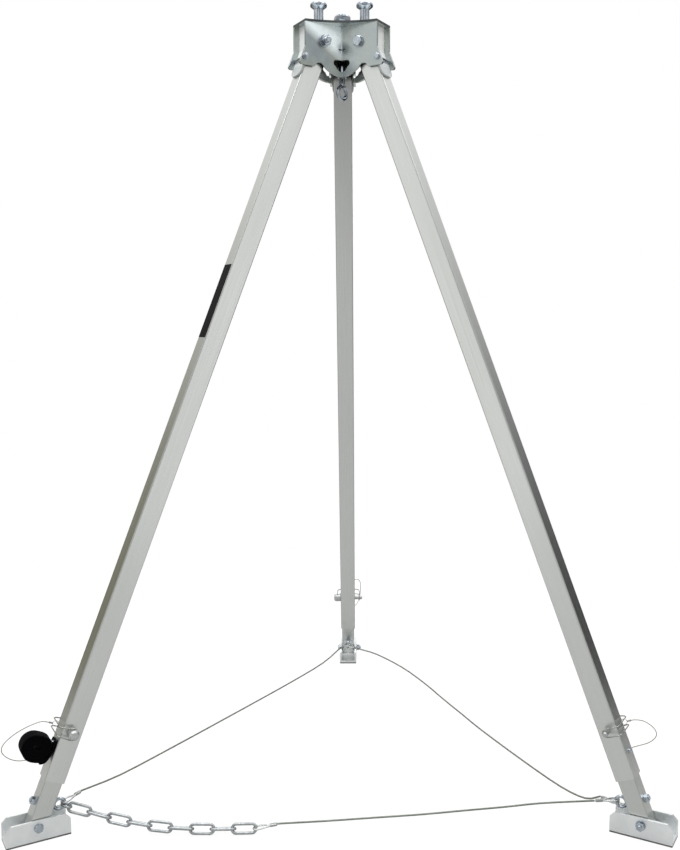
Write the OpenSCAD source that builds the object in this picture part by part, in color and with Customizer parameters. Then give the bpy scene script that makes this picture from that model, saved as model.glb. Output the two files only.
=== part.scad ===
// Rescue tripod: a bent-plate head on three telescoping square legs with swivel feet.
// The legs stand at 22 degrees, held by stop plates and spring plungers in the head.
// Each leg length is set by a cross pin with a wire bail, and a rope and chain tie the feet.
// Millimetres, +Z up, floor at z = 0.

/* [Legs] */
// Tilt of each opened leg from the vertical, in degrees
leg_tilt = 22; // [18:0.5:26]
// Pivot bolt to foot bolt along the leg, at the shortest setting
leg_reach = 2096; // [1700:1:2300]
// Side of the upper square tube
upper_w = 50.8; // [48:0.1:54]
// Wall of the upper tube
upper_wall = 3; // [2:0.1:3.2]
// Upper tube below the pivot bolt
upper_below = 1986; // [1600:1:1990]
// Upper tube above the pivot bolt
upper_above = 24; // [22:0.5:26]
// Free gap round the lower tube inside the upper one
slide_gap = 0.4; // [0.3:0.05:0.8]
// Wall of the lower tube
lower_wall = 4; // [3:0.1:5]
// Lower tube below the foot bolt
lower_below = 12; // [10:0.5:13]
// Distance between two length settings
hole_pitch = 100; // [80:1:120]
// Number of steps between the shortest and the longest setting
hole_steps = 6; // [3:1:7]
// Corner radius of the tubes
tube_corner = 3; // [2:0.1:4]

/* [Head] */
// Pivot bolts from the tripod axis
pivot_r = 72; // [70:0.5:80]
// Thickness of the bent side plates and the top plate
plate_t = 6; // [5:0.1:7]
// Gap between a leg and the side plate beside it
pocket_gap = 4.6; // [4:0.1:6]
// Underside of the top plate above the pivot bolts
head_rise = 43; // [41:0.5:46]
// Reach of the straight side plate edges from the tripod axis
arm_r = 127; // [124:0.5:140]
// Drop of the side plate edges below the pivot before they flare
flare_drop = 19; // [15:0.5:24]
// Reach of the flared ears
ear_r = 144; // [140:0.5:156]
// Drop of the ears below the pivot
ear_drop = 66; // [62:0.5:72]
// Drop of the rounded middle of a side plate
chin_drop = 85; // [78:0.5:92]
// Inner bend radius of the side plates
bend_r = 4; // [2:0.5:6]
// Width of the anchor slot across the bend
slot_w = 42; // [38:0.5:44]
// Height of the anchor slot
slot_h = 30; // [26:0.5:32]
// Drop of the anchor slot's top
slot_drop = 42; // [38:0.5:46]
// How far the top plate's long edges bow inwards
edge_bow = 17; // [10:0.5:22]
// Thickness of the stop plates
stop_t = 5; // [4:0.1:6]
// Drop of the stop plates' lower ends
stop_drop = 91; // [84:0.5:100]
// Drop of the stop bolts
stop_bolt_drop = 45; // [40:0.5:50]

/* [Bolts] */
// Pivot bolt
pivot_d = 16; // [14:0.5:18]
// Bush that turns on the pivot bolt
bush_d = 24; // [22:0.5:26]
// Stop bolt
stop_bolt_d = 8; // [6:0.5:10]
// Foot bolt
foot_bolt_d = 12; // [10:0.5:14]
// Eye bolt in a lower tube
eye_bolt_d = 10; // [8:0.5:12]
// Running gap of a turning or sliding fit, on the radius
fit_gap = 0.1; // [0.05:0.01:0.1]
// Gap between two bodies that only pass each other
free_gap = 0.3; // [0.2:0.05:0.5]

/* [Plungers] */
// Plungers from the tripod axis
plunger_r = 70; // [68:0.5:74]
// Plunger rod
rod_d = 14; // [12:0.5:16]
// Depth of the plunger's nose in the leg's cap
nose_h = 8; // [6:0.5:9]
// Plunger barrel
barrel_d = 25.4; // [25:0.1:28]
// Barrel above the top plate
barrel_h = 39; // [38:0.5:48]
// Plunger knob
knob_d = 44.4; // [38:0.2:50]
// Height of the knob
knob_h = 21; // [16:0.5:24]
// Wire of the plunger spring
spring_wire = 1.6; // [1.4:0.1:2]
// Turns of the plunger spring
spring_turns = 4; // [3:1:4]

/* [Hoist eye] */
// Shank of the hoist eye bolt
hoist_d = 24; // [22:0.5:26]
// Neck of the hoist eye
neck_d = 16; // [14:0.5:18]
// Inner diameter of the hoist eye
eye_bore = 22; // [20:0.5:26]
// Wire of the hoist eye
eye_wire = 11; // [9:0.5:13]
// Drop of the hoist eye's centre below the pivots
eye_drop = 115; // [110:0.5:124]
// Turn of the hoist eye about its shank, in degrees
eye_turn = 50; // [0:1:90]

/* [Feet] */
// Length of a foot channel
foot_l = 152; // [130:1:156]
// Width of a foot channel
foot_w = 60; // [58:0.5:66]
// Wall of a foot channel
foot_wall = 6; // [5:0.1:6.5]
// Height of a foot channel
foot_h = 50; // [48:0.5:54]
// Chamfer of the channel's upper corners
foot_chamfer = 13; // [8:0.5:16]
// Rubber sole under a foot
sole_t = 4; // [3:0.5:6]
// Foot bolt above the channel's inner floor
bolt_above = 26; // [25.5:0.1:30]

/* [Lock pins] */
// Lock pin
pin_d = 12.7; // [10:0.1:13]
// Lock pin above the upper tube's lower end
pin_above = 124; // [115:1:135]
// Head of the lock pin
pin_head_d = 26; // [22:0.5:28]
// Length of the pin's head
pin_head_l = 24; // [20:0.5:28]
// Pin beyond the tube on the tip side
pin_tip = 27; // [24:0.5:32]
// Wire of the bail
bail_wire = 3; // [2.5:0.1:3.5]
// Distance of the bail from the tube's outer face
bail_off = 10.6; // [9:0.1:14]
// Lanyard wire
lanyard_d = 2; // [1.5:0.1:2.5]
// Lanyard rivet below the lock pin
rivet_below = 63; // [58:1:70]
// Left rivet, which also holds the strap, below the lock pin
strap_rivet_below = 38; // [34:1:46]

/* [Tie] */
// Eye bolts above the foot bolts along the leg
tie_above = 52; // [48:0.5:60]
// Inner diameter of a tie eye
tie_bore = 18; // [17:0.5:20]
// Wire of a tie eye
tie_wire = 8; // [7:0.5:9]
// Rope diameter
rope_d = 4.8; // [4:0.1:5]
// Ferrule diameter
ferrule_d = 8.5; // [8:0.1:10]
// Ferrule length
ferrule_l = 16; // [12:1:24]
// Mean radius of the bends of a rope's end loop
loop_r = 11; // [10:0.5:13]
// Length of a rope's end loop, between the middles of its bends
loop_l = 42; // [36:0.5:50]
// Free gap between a loop's bend and the eye it sits round
loop_gap = 0.95; // [0.5:0.05:1.2]
// Chain wire
chain_wire = 7; // [6:0.1:7.5]
// Inner length of a chain link
link_in_l = 52; // [48:0.5:56]
// Inner width of a chain link
link_in_w = 14; // [13:0.5:16]
// Wire of the connecting link
quick_wire = 6; // [5:0.1:6.5]
// Inner length of the connecting link
quick_in_l = 19; // [18:0.5:30]

/* [Trim] */
// Length of the dark strip on the left leg
strip_l = 200; // [150:1:220]
// Strip's upper end below the pivot bolt
strip_below = 638; // [600:1:700]
// Thickness of the strip
strip_t = 0.6; // [0.4:0.1:1]
// Width of the rolled strap's webbing
strap_w = 38; // [30:1:44]
// Thickness of the webbing
strap_t = 3.4; // [2.5:0.1:4]

/* [Hidden] */
$fn = 48;

LEGS = ["left", "right", "back"];
LEG_AZIMUTH = [210, 330, 90];
GAP_AZIMUTH = [270, 30, 150];

// Leg tubes
lower_w = upper_w - 2 * upper_wall - 2 * slide_gap;
pin_along = upper_below - pin_above;
extension = hole_pitch * hole_steps;
hole_margin = 62;
lower_top = pin_along - extension - hole_margin;
bolt_z = sole_t + foot_wall + bolt_above;
pivot_z = bolt_z + leg_reach * cos(leg_tilt);
foot_r = pivot_r + leg_reach * sin(leg_tilt);
foot_out = foot_r + foot_l / 2;
// The floor box of the three feet is centred on the origin
axis_y = -(foot_out * (1 - sin(30)) - foot_w / 2 * cos(30)) / 2;

// Bolts: across the hexagon, head, nut, washer and the stub beyond the nut
PIVOT_HEX = [24, 10, 13, 3, 9];
STOP_HEX = [13, 5.5, 6.5, 1.6, 4];
FOOT_HEX = [19, 8, 10, 2, 5];

// Head
half_in = upper_w / 2 + pocket_gap;
half_out = half_in + plate_t;
bend_c = (half_out + bend_r) / sin(60);
bend_tangent = bend_c * cos(60);
cap_r = head_rise - 7;
washer_t = pocket_gap - free_gap;
washer_d = 44;
ear_round = 6;
flare = atan((ear_r - arm_r) / (ear_drop - ear_round - flare_drop));
ear_c = ear_r - ear_round / cos(flare);
chin_radius = 63;
chin_half = chin_radius * 6 / 7;
chin_cut = chin_radius * 5 / 7;
arch_r = 14;
arch_at = 86;
relief_drop = 17;
relief_w = 16;
relief_h = 3;
top_z = head_rise + plate_t;

// Stop plates lie on the outer faces of the opened legs
stop_u = upper_w / 2 + free_gap;
function on_leg_face(u, z) = pivot_r + (u - z * sin(leg_tilt)) / cos(leg_tilt);
stop_r = on_leg_face(stop_u, -flare_drop);
stop_bend = -(stop_r + stop_t - on_leg_face(stop_u + stop_t, 0)) / tan(leg_tilt);
stop_bolt_r = on_leg_face(stop_u + stop_t + stop_bolt_d / 2, -stop_bolt_drop);

// Plungers
nose_z = cap_r - nose_h;
nose_r = 1.5;
nose_gap = 0.4;
collar_z = top_z + 0.6;
collar_h = 5;
collar_d = barrel_d - 6;
bore_d = collar_d + 0.6;
barrel_top = top_z + barrel_h;
barrel_lid = 4;
barrel_foot = 4;
spring_z = [collar_z + collar_h + spring_wire / 2 + 0.2, barrel_top - barrel_lid - spring_wire / 2 - 0.2];
spring_r = (bore_d - spring_wire) / 2 - 0.3;
spring_steps = spring_turns * 8;
spring_path = [for (k = [0 : spring_steps])
    [spring_r * cos(45 * k), spring_r * sin(45 * k),
     spring_z[0] + (spring_z[1] - spring_z[0]) * k / spring_steps]];

// Hoist eye
hoist_nut_w = 38;
hoist_nut_h = [18, 10];
hoist_washer_t = 4;
hoist_stub = 3;
eye_r = (eye_bore + eye_wire) / 2;

// Lock pins, in leg coordinates: u outwards, v sideways, z up the leg
pin_z = -pin_along;
pin_near = upper_w / 2 + free_gap;
bail_u = upper_w / 2 + bail_off;
bail_z = 10.5;
key_ring_r = 7;
key_ring_wire = 2;
key_ring_u = bail_u + 3.2;
key_ring_z = bail_z - 2.5;
crimp_d = 4.4;
crimp_l = 10;
rivet_drop = [strap_rivet_below, rivet_below, rivet_below];
rivet_lift = [strap_t + fit_gap, 0, 0];
// The side to which each lanyard leaves its rivet
rivet_side = [-1, 1, -1];
crimp_from = 5;

// Tie eyes, ropes and chain
tie_z = -(leg_reach - tie_above);
tie_u = -(lower_w / 2 + 1 + tie_bore / 2 + tie_wire);
tie_r = pivot_r - tie_z * sin(leg_tilt) + tie_u * cos(leg_tilt);
tie_height = pivot_z + tie_z * cos(leg_tilt) + tie_u * sin(leg_tilt);
link_step = link_in_l - 0.5;
quick_in_w = 13;

function spot(i, r, z) = [r * cos(LEG_AZIMUTH[i]), r * sin(LEG_AZIMUTH[i]), z];
function unit(a) = a / norm(a);

// Each rope's first and second leg, and the heading in which it leaves their tie eyes
ROPES = [
    [0, 2, [0.5, 0.866, 0.03], [-0.5, -0.866, 0], 3.8, 3],
    [2, 1, [0.72, -0.69, 0], [-0.45, 0.866, -0.2], -3, -3],
];
rope_lift = 3;
// The wire of a tie eye on its side away from the leg, a little above or below its middle
tie_ring_r = (tie_bore + tie_wire) / 2;
function tie_hold(i, up) = spot(i, tie_r - sqrt(pow(tie_ring_r, 2) - up * up), tie_height + up);
// Where the bend of a loop sits that is pulled round that wire in direction d
function loop_end(i, d, up) = tie_hold(i, up)
    - unit([d[0], d[1], 0]) * (tie_wire / 2 + rope_d / 2 + loop_gap);
function ferrule_end(p, d) = p + unit(d) * (loop_l + ferrule_l);
// A rope leaves its ferrule straight
function lead(d) = unit(d) * 10;
function rope_bend(k, e) = loop_end(ROPES[k][e], ROPES[k][2 + e], ROPES[k][4 + e]);
function rope_end(k, e) = ferrule_end(rope_bend(k, e), ROPES[k][2 + e]);

// Hand-chosen route points between the ferrules, from the tripod axis
left_back_route = [
    [-588, -224, 58], [-488, -51, 53], [-388, 123, 50],
    [-288, 296, 48], [-188, 469, 47], [-88, 642, 51]
];
back_right_route = [
    [105, 708, 60], [192, 590, 54], [262, 462, 45], [316, 342, 37],
    [366, 232, 31], [413, 123, 27], [504, -69, 22], [580, -226, 22], [627, -308, 31]
];
front_route = [
    [495, -399, 65], [402, -402, 57], [310, -406, 51],
    [200, -410, 43], [80, -414, 37], [-40, -418, 31]
];
// Slope and heading of each chain link, in degrees, from the left foot
LINK_SLOPE = [-11, -12, -10, -8, -5, -3, -1, 0, 0];
LINK_HEADING = [-8, -8, -6, -5, -3, -1, 0, 1, 2];
LINK_ROLL = [68, -22];
function heading(yaw, slope) = [cos(slope) * cos(yaw), cos(slope) * sin(yaw), sin(slope)];
quick_slope = -20;
quick_start = tie_hold(0, -5) - heading(-8, quick_slope) * (tie_wire / 2 + free_gap);
chain_start = quick_start + heading(-8, quick_slope) * (quick_in_l - 0.5);
function link_start(k) = k == 0 ? chain_start
    : link_start(k - 1) + heading(LINK_HEADING[k - 1], LINK_SLOPE[k - 1]) * link_step;
links = len(LINK_SLOPE);
chain_end = link_start(links);
front_heading = [[1, 0.04, 0.16], [-1, 0, -0.06]];
front_loop = [chain_end - [rope_d / 2, 0, 0], loop_end(1, front_heading[1], rope_lift)];

// Lanyard routes in leg coordinates, heights from the lock pin
LANYARDS = [
    [[76, 0, 6], [98, -4, -10], [119, -12, -34], [132, -20, -58], [136, -26, -77],
     [129, -31, -93], [108, -33, -104], [82, -34, -106], [57, -33, -96], [39, -30, -70], [31, -25, -46]],
    [[66, 2, 7], [81, 8, 0], [92, 16, -14], [97, 26, -32], [93, 34, -48],
     [80, 38, -59], [62, 38, -65], [42, 31, -65]],
    [[66, -8, 14], [76, -24, 24], [82, -38, 20], [84, -46, 2], [80, -46, -22],
     [70, -44, -44], [54, -38, -58], [38, -28, -64]]
];

// Rolled strap in leg coordinates
strap_face = upper_w / 2 + fit_gap / 2;
strap_size = [41, 37];
strap_drop = 52;
strap_c = [strap_face + strap_size[0], -strap_drop];
strap_tail = -30;
strap_turns = 2.6;
strap_pitch = 8.5;
strap_steps = round(strap_turns * 24);
// A point of the roll, a depth r inside its outer surface
function roll(k, r) = [
    strap_c[0] + (strap_size[0] - strap_pitch * k / 24 - r) * cos(180 + 15 * k),
    strap_c[1] + (strap_size[1] - strap_pitch * k / 24 - r) * sin(180 + 15 * k)];

// Least gap between points of one path that are some steps apart or more
function least_gap(p, d, apart) = min([for (a = [0 : len(p) - 1 - apart], b = [a + apart : len(p) - 1])
    norm(p[a] - p[b])]) - d;
echo("least gap of a plunger spring to itself", least_gap(spring_path, spring_wire, 5));
echo("least gap of the rolled strap to itself",
    least_gap([for (k = [0 : strap_steps]) roll(k, strap_t / 2)], strap_t, 14));

// Placing

module from_axis() {
    translate([0, axis_y, 0]) children();
}

module at_head(azimuth) {
    from_axis() translate([0, 0, pivot_z]) rotate(azimuth) children();
}

module in_leg(i) {
    at_head(LEG_AZIMUTH[i]) translate([pivot_r, 0, 0]) rotate([0, -leg_tilt, 0]) children();
}

module at_foot(i) {
    from_axis() rotate(LEG_AZIMUTH[i]) translate([foot_r, 0, 0]) children();
}

// A profile drawn in reach and height, given a thickness sideways from v
module upright(v, t) {
    translate([0, v + t, 0]) rotate([90, 0, 0]) linear_extrude(t) children();
}

module sideways(d, from, to) {
    translate([0, from, 0]) rotate([-90, 0, 0]) cylinder(d = d, h = to - from);
}

module hexagon(across, h) {
    cylinder(d = across / cos(30), h = h, $fn = 6);
}

module rounded_square(w, r) {
    square([w - 2 * r, w], center = true);
    square([w, w - 2 * r], center = true);
    for (x = [-1, 1], y = [-1, 1])
        translate([x, y] * (w / 2 - r)) circle(r);
}

module square_tube(w, wall, r, z0, z1) {
    translate([0, 0, z0]) linear_extrude(z1 - z0) difference() {
        rounded_square(w, r);
        rounded_square(w - 2 * wall, max(r - wall, 0.8));
    }
}

module torus(r, wire) {
    rotate_extrude() translate([r, 0]) circle(d = wire);
}

// An oblong link along X, centred
module link(in_l, in_w, wire) {
    r = (in_w + wire) / 2;
    straight = in_l - in_w;
    for (s = [-1, 1]) {
        translate([-straight / 2, s * r, 0]) rotate([0, 90, 0]) cylinder(d = wire, h = straight);
        translate([s * straight / 2, 0, 0]) rotate(-90 * s)
            rotate_extrude(angle = 180) translate([r, 0]) circle(d = wire);
    }
}

// Points d along X from p
module point_along(p, d) {
    translate(p)
        rotate([0, -asin(d[2] / norm(d)), atan2(d[1], d[0])]) children();
}

// Tubes along points

function tangent(p, k) = unit(p[min(k + 1, len(p) - 1)] - p[max(k - 1, 0)]);
function across(t) = unit(cross(t, abs(t[2]) < 0.9 ? [0, 0, 1] : [1, 0, 0]));
function ring(c, t, r, sides) = [for (j = [0 : sides - 1])
    c + r * cos(360 * j / sides) * across(t) + r * sin(360 * j / sides) * cross(t, across(t))];
function swept(p, r, sides) = [for (k = [0 : len(p) - 1]) each ring(p[k], tangent(p, k), r, sides)];
function tube_faces(n, s) = concat(
    [for (k = [0 : n - 2], j = [0 : s - 1]) each [
        [k * s + j, (k + 1) * s + (j + 1) % s, k * s + (j + 1) % s],
        [k * s + j, (k + 1) * s + j, (k + 1) * s + (j + 1) % s]]],
    [[for (j = [0 : s - 1]) j], [for (j = [s - 1 : -1 : 0]) (n - 1) * s + j]]);

module tube_along(p, d, sides) {
    polyhedron(swept(p, d / 2, sides), tube_faces(len(p), sides), convexity = 6);
}

// Head

module top_plate() {
    corner = [half_out * sin(30) - arm_r * cos(30), -arm_r * sin(30) - half_out * cos(30)];
    bow_r = (pow(corner[0], 2) + pow(edge_bow, 2)) / (2 * edge_bow);
    color("lightsteelblue") at_head(0) translate([0, 0, head_rise]) difference() {
        linear_extrude(plate_t) difference() {
            polygon([for (a = GAP_AZIMUTH, s = [-1, 1])
                [corner[0] * -s * cos(a - 270) - corner[1] * sin(a - 270),
                 corner[0] * -s * sin(a - 270) + corner[1] * cos(a - 270)]]);
            for (a = GAP_AZIMUTH) rotate(a - 270)
                translate([0, corner[1] + edge_bow - bow_r]) circle(bow_r, $fn = 180);
        }
        translate([0, 0, -1]) cylinder(d = hoist_d + 2 * fit_gap, h = plate_t + 2);
        for (a = LEG_AZIMUTH) rotate(a)
            translate([plunger_r, 0, -1]) cylinder(d = rod_d + 2 * fit_gap, h = plate_t + 2);
    }
}

// A point of a side plate's plan: reach r along the leg beside it, and v from that leg's middle
function on_arm(s, r, v) = [r * cos(60) + v * sin(60), s * (r * sin(60) - v * cos(60))];

// Plan of a side plate: two arms and the bend between them, open along +X
module side_plan() {
    far = ear_r + 40;
    difference() {
        union() {
            polygon([for (e = [[-1, bend_tangent], [-1, far], [1, far], [1, bend_tangent]])
                on_arm(e[0], e[1], half_in)]);
            translate([bend_c, 0]) circle(bend_r + plate_t);
        }
        polygon([for (e = [[-1, bend_tangent], [-1, far + 40], [1, far + 40], [1, bend_tangent]])
            on_arm(e[0], e[1], half_out)]);
        translate([bend_c, 0]) circle(bend_r);
    }
}

// What is cut from an arm, in reach and height: its outer edge, lower edge, arch and bolt holes
module arm_cuts() {
    difference() {
        polygon([
            [arm_r, head_rise + 1], [arm_r, -flare_drop],
            [ear_c + ear_round * cos(flare), -ear_drop + ear_round + ear_round * sin(flare)],
            [ear_c, -ear_drop], [arch_at - 8, -ear_drop], [arch_at - 8, -chin_drop - 9],
            [2 * ear_r, -chin_drop - 9], [2 * ear_r, head_rise + 1]
        ]);
        translate([ear_c, -ear_drop + ear_round]) circle(ear_round);
    }
    translate([arch_at, -ear_drop - 4]) circle(arch_r);
    translate([pivot_r, 0]) circle(d = pivot_d + 2 * fit_gap);
    translate([stop_bolt_r, -stop_bolt_drop]) circle(d = stop_bolt_d + 2 * fit_gap);
}

// What is cut across the bend, as seen along it: the rounded chin, anchor slot and relief slot
module bend_cuts() {
    difference() {
        translate([-chin_half, -chin_drop - 9]) square([2 * chin_half, chin_cut]);
        translate([0, chin_radius - chin_drop]) circle(chin_radius, $fn = 120);
    }
    side = slot_h * 0.3;
    translate([0, -slot_drop - slot_h / 2]) circle(slot_h / 2);
    translate([-slot_w / 2 + side, -slot_drop - 2 * side]) square([slot_w - 2 * side, 2 * side]);
    for (s = [-1, 1]) translate([s * (slot_w / 2 - side), -slot_drop - side]) circle(side);
    translate([-relief_w / 2, -relief_drop]) square([relief_w, relief_h]);
}

module side_plate(gap) {
    color("lightsteelblue") at_head(GAP_AZIMUTH[gap]) difference() {
        translate([0, 0, -chin_drop - 5]) linear_extrude(head_rise + chin_drop + 5) side_plan();
        rotate([90, 0, 90]) linear_extrude(2 * bend_c) bend_cuts();
        for (s = [-1, 1]) rotate(60 * s) mirror([0, s > 0 ? 0 : 1, 0])
            upright(-half_out - 5, plate_t + 10) arm_cuts();
    }
}

module front_side_plate() { side_plate(0); }
module right_side_plate() { side_plate(1); }
module left_side_plate() { side_plate(2); }

module stop_plate(i) {
    w = 2 * half_in;
    tip = 20;
    span = 2 * ear_r;
    at_head(LEG_AZIMUTH[i]) intersection() {
        upright(-half_in, w) polygon([
            [stop_r, head_rise], [stop_r, -flare_drop],
            [on_leg_face(stop_u, -stop_drop), -stop_drop],
            [on_leg_face(stop_u, -stop_drop) + stop_t * cos(leg_tilt),
             -stop_drop + stop_t * sin(leg_tilt)],
            [stop_r + stop_t, stop_bend], [stop_r + stop_t, head_rise]
        ]);
        translate([pivot_r, 0, 0]) rotate([0, -leg_tilt, 0]) translate([-half_out, 0, 0])
            rotate([90, 0, 90]) linear_extrude(span) union() {
                floor = -(stop_drop + stop_u * sin(leg_tilt)) / cos(leg_tilt);
                translate([-half_in, floor + tip]) square([w, span]);
                translate([-half_in + tip, floor]) square([w - 2 * tip, tip]);
                for (s = [-1, 1]) translate([s * (half_in - tip), floor + tip]) circle(tip);
            }
    }
}

module stop_plates() {
    color("gainsboro") for (i = [0 : 2]) stop_plate(i);
}

// A bolt across a leg: head on the negative side, washer and nut on the positive one
module cross_bolt(d, hex, half) {
    w = hex[0];
    head_h = hex[1];
    nut_h = hex[2];
    washer_h = hex[3];
    stub = hex[4];
    sideways(d, -half, half + washer_h + nut_h + stub);
    translate([0, -half, 0]) rotate([90, 0, 0]) hexagon(w, head_h);
    difference() {
        union() {
            sideways(w * 1.3, half, half + washer_h);
            translate([0, half + washer_h, 0]) rotate([-90, 0, 0]) hexagon(w, nut_h);
        }
        sideways(d + 2 * fit_gap, half - 1, half + washer_h + nut_h + 1);
    }
}

module pivot_bolts() {
    color("silver") for (a = LEG_AZIMUTH) at_head(a) translate([pivot_r, 0, 0])
        cross_bolt(pivot_d, PIVOT_HEX, half_out);
}

module stop_bolts() {
    color("silver") for (a = LEG_AZIMUTH) at_head(a) translate([stop_bolt_r, 0, -stop_bolt_drop])
        cross_bolt(stop_bolt_d, STOP_HEX, half_out);
}

module plunger_barrels() {
    color("silver") for (a = LEG_AZIMUTH) at_head(a) translate([plunger_r, 0, 0]) difference() {
        union() {
            translate([0, 0, top_z]) cylinder(d = barrel_d + barrel_foot, h = 2 * barrel_foot);
            translate([0, 0, top_z]) cylinder(d = barrel_d, h = barrel_h);
        }
        translate([0, 0, top_z - 1]) cylinder(d = bore_d, h = barrel_h - barrel_lid + 1);
        translate([0, 0, top_z]) cylinder(d = rod_d + 2 * fit_gap, h = barrel_h + 1);
    }
}

module plunger(i) {
    r = rod_d / 2;
    k = knob_d / 2;
    base = barrel_top + free_gap;
    rim = knob_h / 8;
    dome = knob_d;
    color("silver") at_head(LEG_AZIMUTH[i]) translate([plunger_r, 0, 0]) rotate_extrude() {
        polygon([
            [0, nose_z], [nose_r, nose_z], [r, cap_r], [r, collar_z], [collar_d / 2, collar_z],
            [collar_d / 2, collar_z + collar_h], [r, collar_z + collar_h], [r, base],
            [barrel_d / 2, base], [k - rim, base + knob_h / 2], [k - rim, base + knob_h / 2 + 2 * rim],
            [0, base + knob_h / 2 + 2 * rim]
        ]);
        translate([k - rim, base + knob_h / 2 + rim]) circle(rim);
        intersection() {
            translate([0, base + knob_h - dome]) circle(dome, $fn = 96);
            translate([0, base + knob_h / 2]) square([k - rim / 2, knob_h]);
        }
    }
}

module left_plunger() { plunger(0); }
module right_plunger() { plunger(1); }
module back_plunger() { plunger(2); }

module plunger_springs() {
    color("dimgray") for (a = LEG_AZIMUTH) at_head(a)
        translate([plunger_r, 0, 0]) tube_along(spring_path, spring_wire, 6);
}

module hoist_eye_bolt() {
    shoulder = 6;
    top = top_z + hoist_washer_t + hoist_nut_h[0] + hoist_nut_h[1] + hoist_stub;
    low = -chin_drop + 8;
    color("silver") at_head(0) rotate(eye_turn) {
        translate([0, 0, low]) cylinder(d = hoist_d, h = top - low);
        translate([0, 0, head_rise - shoulder]) cylinder(d = hoist_d + 10, h = shoulder);
        translate([0, 0, -eye_drop + eye_r]) cylinder(d = neck_d, h = low + eye_drop - eye_r);
        translate([0, 0, -eye_drop]) rotate([90, 0, 0]) torus(eye_r, eye_wire);
    }
}

module hoist_nuts() {
    z = [top_z + hoist_washer_t, top_z + hoist_washer_t + hoist_nut_h[0]];
    color("silver") at_head(0) difference() {
        union() {
            translate([0, 0, top_z]) cylinder(d = hoist_nut_w + 10, h = hoist_washer_t);
            translate([0, 0, z[0]]) hexagon(hoist_nut_w, hoist_nut_h[0]);
            translate([0, 0, z[1]]) rotate(18) hexagon(hoist_nut_w, hoist_nut_h[1]);
        }
        translate([0, 0, top_z - 1]) cylinder(d = hoist_d + 2 * fit_gap, h = 60);
    }
}

// Legs

module upper_tube(i) {
    color("lightgray") in_leg(i) difference() {
        square_tube(upper_w, upper_wall, tube_corner, -upper_below, upper_above);
        sideways(bush_d + 2 * fit_gap, -upper_w, upper_w);
        translate([0, 0, pin_z]) sideways(pin_d + 2 * fit_gap, -upper_w, upper_w);
        translate([0, 0, pin_z - rivet_drop[i]]) rotate([0, 90, 0])
            cylinder(d = 5 + 2 * fit_gap, h = upper_w);
    }
}

module leg_cap(i) {
    plug = upper_w - 2 * upper_wall - 2 * fit_gap;
    color("darkgray") in_leg(i) difference() {
        union() {
            translate([0, 0, -upper_above]) linear_extrude(2 * upper_above)
                rounded_square(plug, 1.5);
            intersection() {
                sideways(2 * cap_r, -upper_w / 2, upper_w / 2);
                translate([-upper_w / 2, -upper_w / 2, upper_above]) cube([upper_w, upper_w, cap_r]);
            }
        }
        sideways(bush_d + 2 * fit_gap, -upper_w, upper_w);
        rotate([0, leg_tilt, 0]) translate([plunger_r - pivot_r, 0, nose_z - nose_gap])
            cylinder(r1 = nose_r + nose_gap, r2 = nose_r + nose_gap + 3 * (rod_d / 2 - nose_r),
                h = 3 * nose_h);
    }
}

module pivot_bush(i) {
    color("dimgray") in_leg(i) difference() {
        sideways(bush_d, -half_in + free_gap, half_in - free_gap);
        sideways(pivot_d + 2 * fit_gap, -half_in, half_in);
    }
    color("whitesmoke") in_leg(i) for (s = [0, 1]) mirror([0, s, 0]) difference() {
        sideways(washer_d, upper_w / 2, upper_w / 2 + washer_t);
        sideways(bush_d + 2 * fit_gap, 0, half_in);
    }
}

module lock_pin(i) {
    head_end = pin_near + pin_head_l;
    color("silver") in_leg(i) translate([0, 0, pin_z]) rotate([-90, 0, 0]) rotate_extrude() polygon([
        [0, -upper_w / 2 - pin_tip], [pin_d / 2 - 2, -upper_w / 2 - pin_tip],
        [pin_d / 2, -upper_w / 2 - pin_tip + 3], [pin_d / 2, pin_near],
        [pin_head_d / 2 - 1, pin_near], [pin_head_d / 2, pin_near + 1],
        [pin_head_d / 2, head_end - 5], [pin_head_d / 2 - 4, head_end], [0, head_end]
    ]);
}

// Wire from the pin's head round the tube's outer face and back round its tip, with a key ring
module bail(i) {
    head_v = pin_near + pin_head_l * 0.5;
    tip_v = -upper_w / 2 - pin_tip * 0.62;
    clear = pin_d / 2 + bail_wire / 2 + 0.5;
    half = [
        [0, head_v, pin_head_d / 2 + bail_wire / 2 + 0.1], [10, head_v, bail_z + 3.4],
        [bail_u - 8, head_v - 1, bail_z + 1], [bail_u - 2, head_v - 6, bail_z],
        [bail_u, head_v - 14, bail_z], [bail_u, tip_v + 14, bail_z],
        [bail_u - 2, tip_v + 6, bail_z], [bail_u - 8, tip_v + 1, bail_z],
        [10, tip_v, bail_z], [0, tip_v, clear + 0.6], [-clear * 0.75, tip_v, clear * 0.72]
    ];
    last = len(half) - 1;
    p = concat(half, [[-clear, tip_v, 0]],
        [for (k = [last : -1 : 0]) [half[k][0], half[k][1], -half[k][2]]]);
    color("silver") in_leg(i) translate([0, 0, pin_z]) {
        tube_along(p, bail_wire, 8);
        translate([key_ring_u, 0, key_ring_z]) {
            rotate([90, 0, 0]) torus(key_ring_r, key_ring_wire);
            translate([key_ring_r, 0, 0]) rotate([0, 90, 0]) cylinder(d = crimp_d, h = crimp_l);
        }
    }
}

module lanyard(i) {
    from = [key_ring_u + key_ring_r + crimp_l, 0, key_ring_z];
    to = [upper_w / 2 + rivet_lift[i] + crimp_d / 2 + 0.1,
          rivet_side[i] * (crimp_from + crimp_l), -rivet_drop[i]];
    color("tan") in_leg(i) translate([0, 0, pin_z])
        tube_along(concat([from, from + [4, 0, 0]], LANYARDS[i],
            [to + [0, rivet_side[i] * 4, 0], to]), lanyard_d, 8);
}

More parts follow.
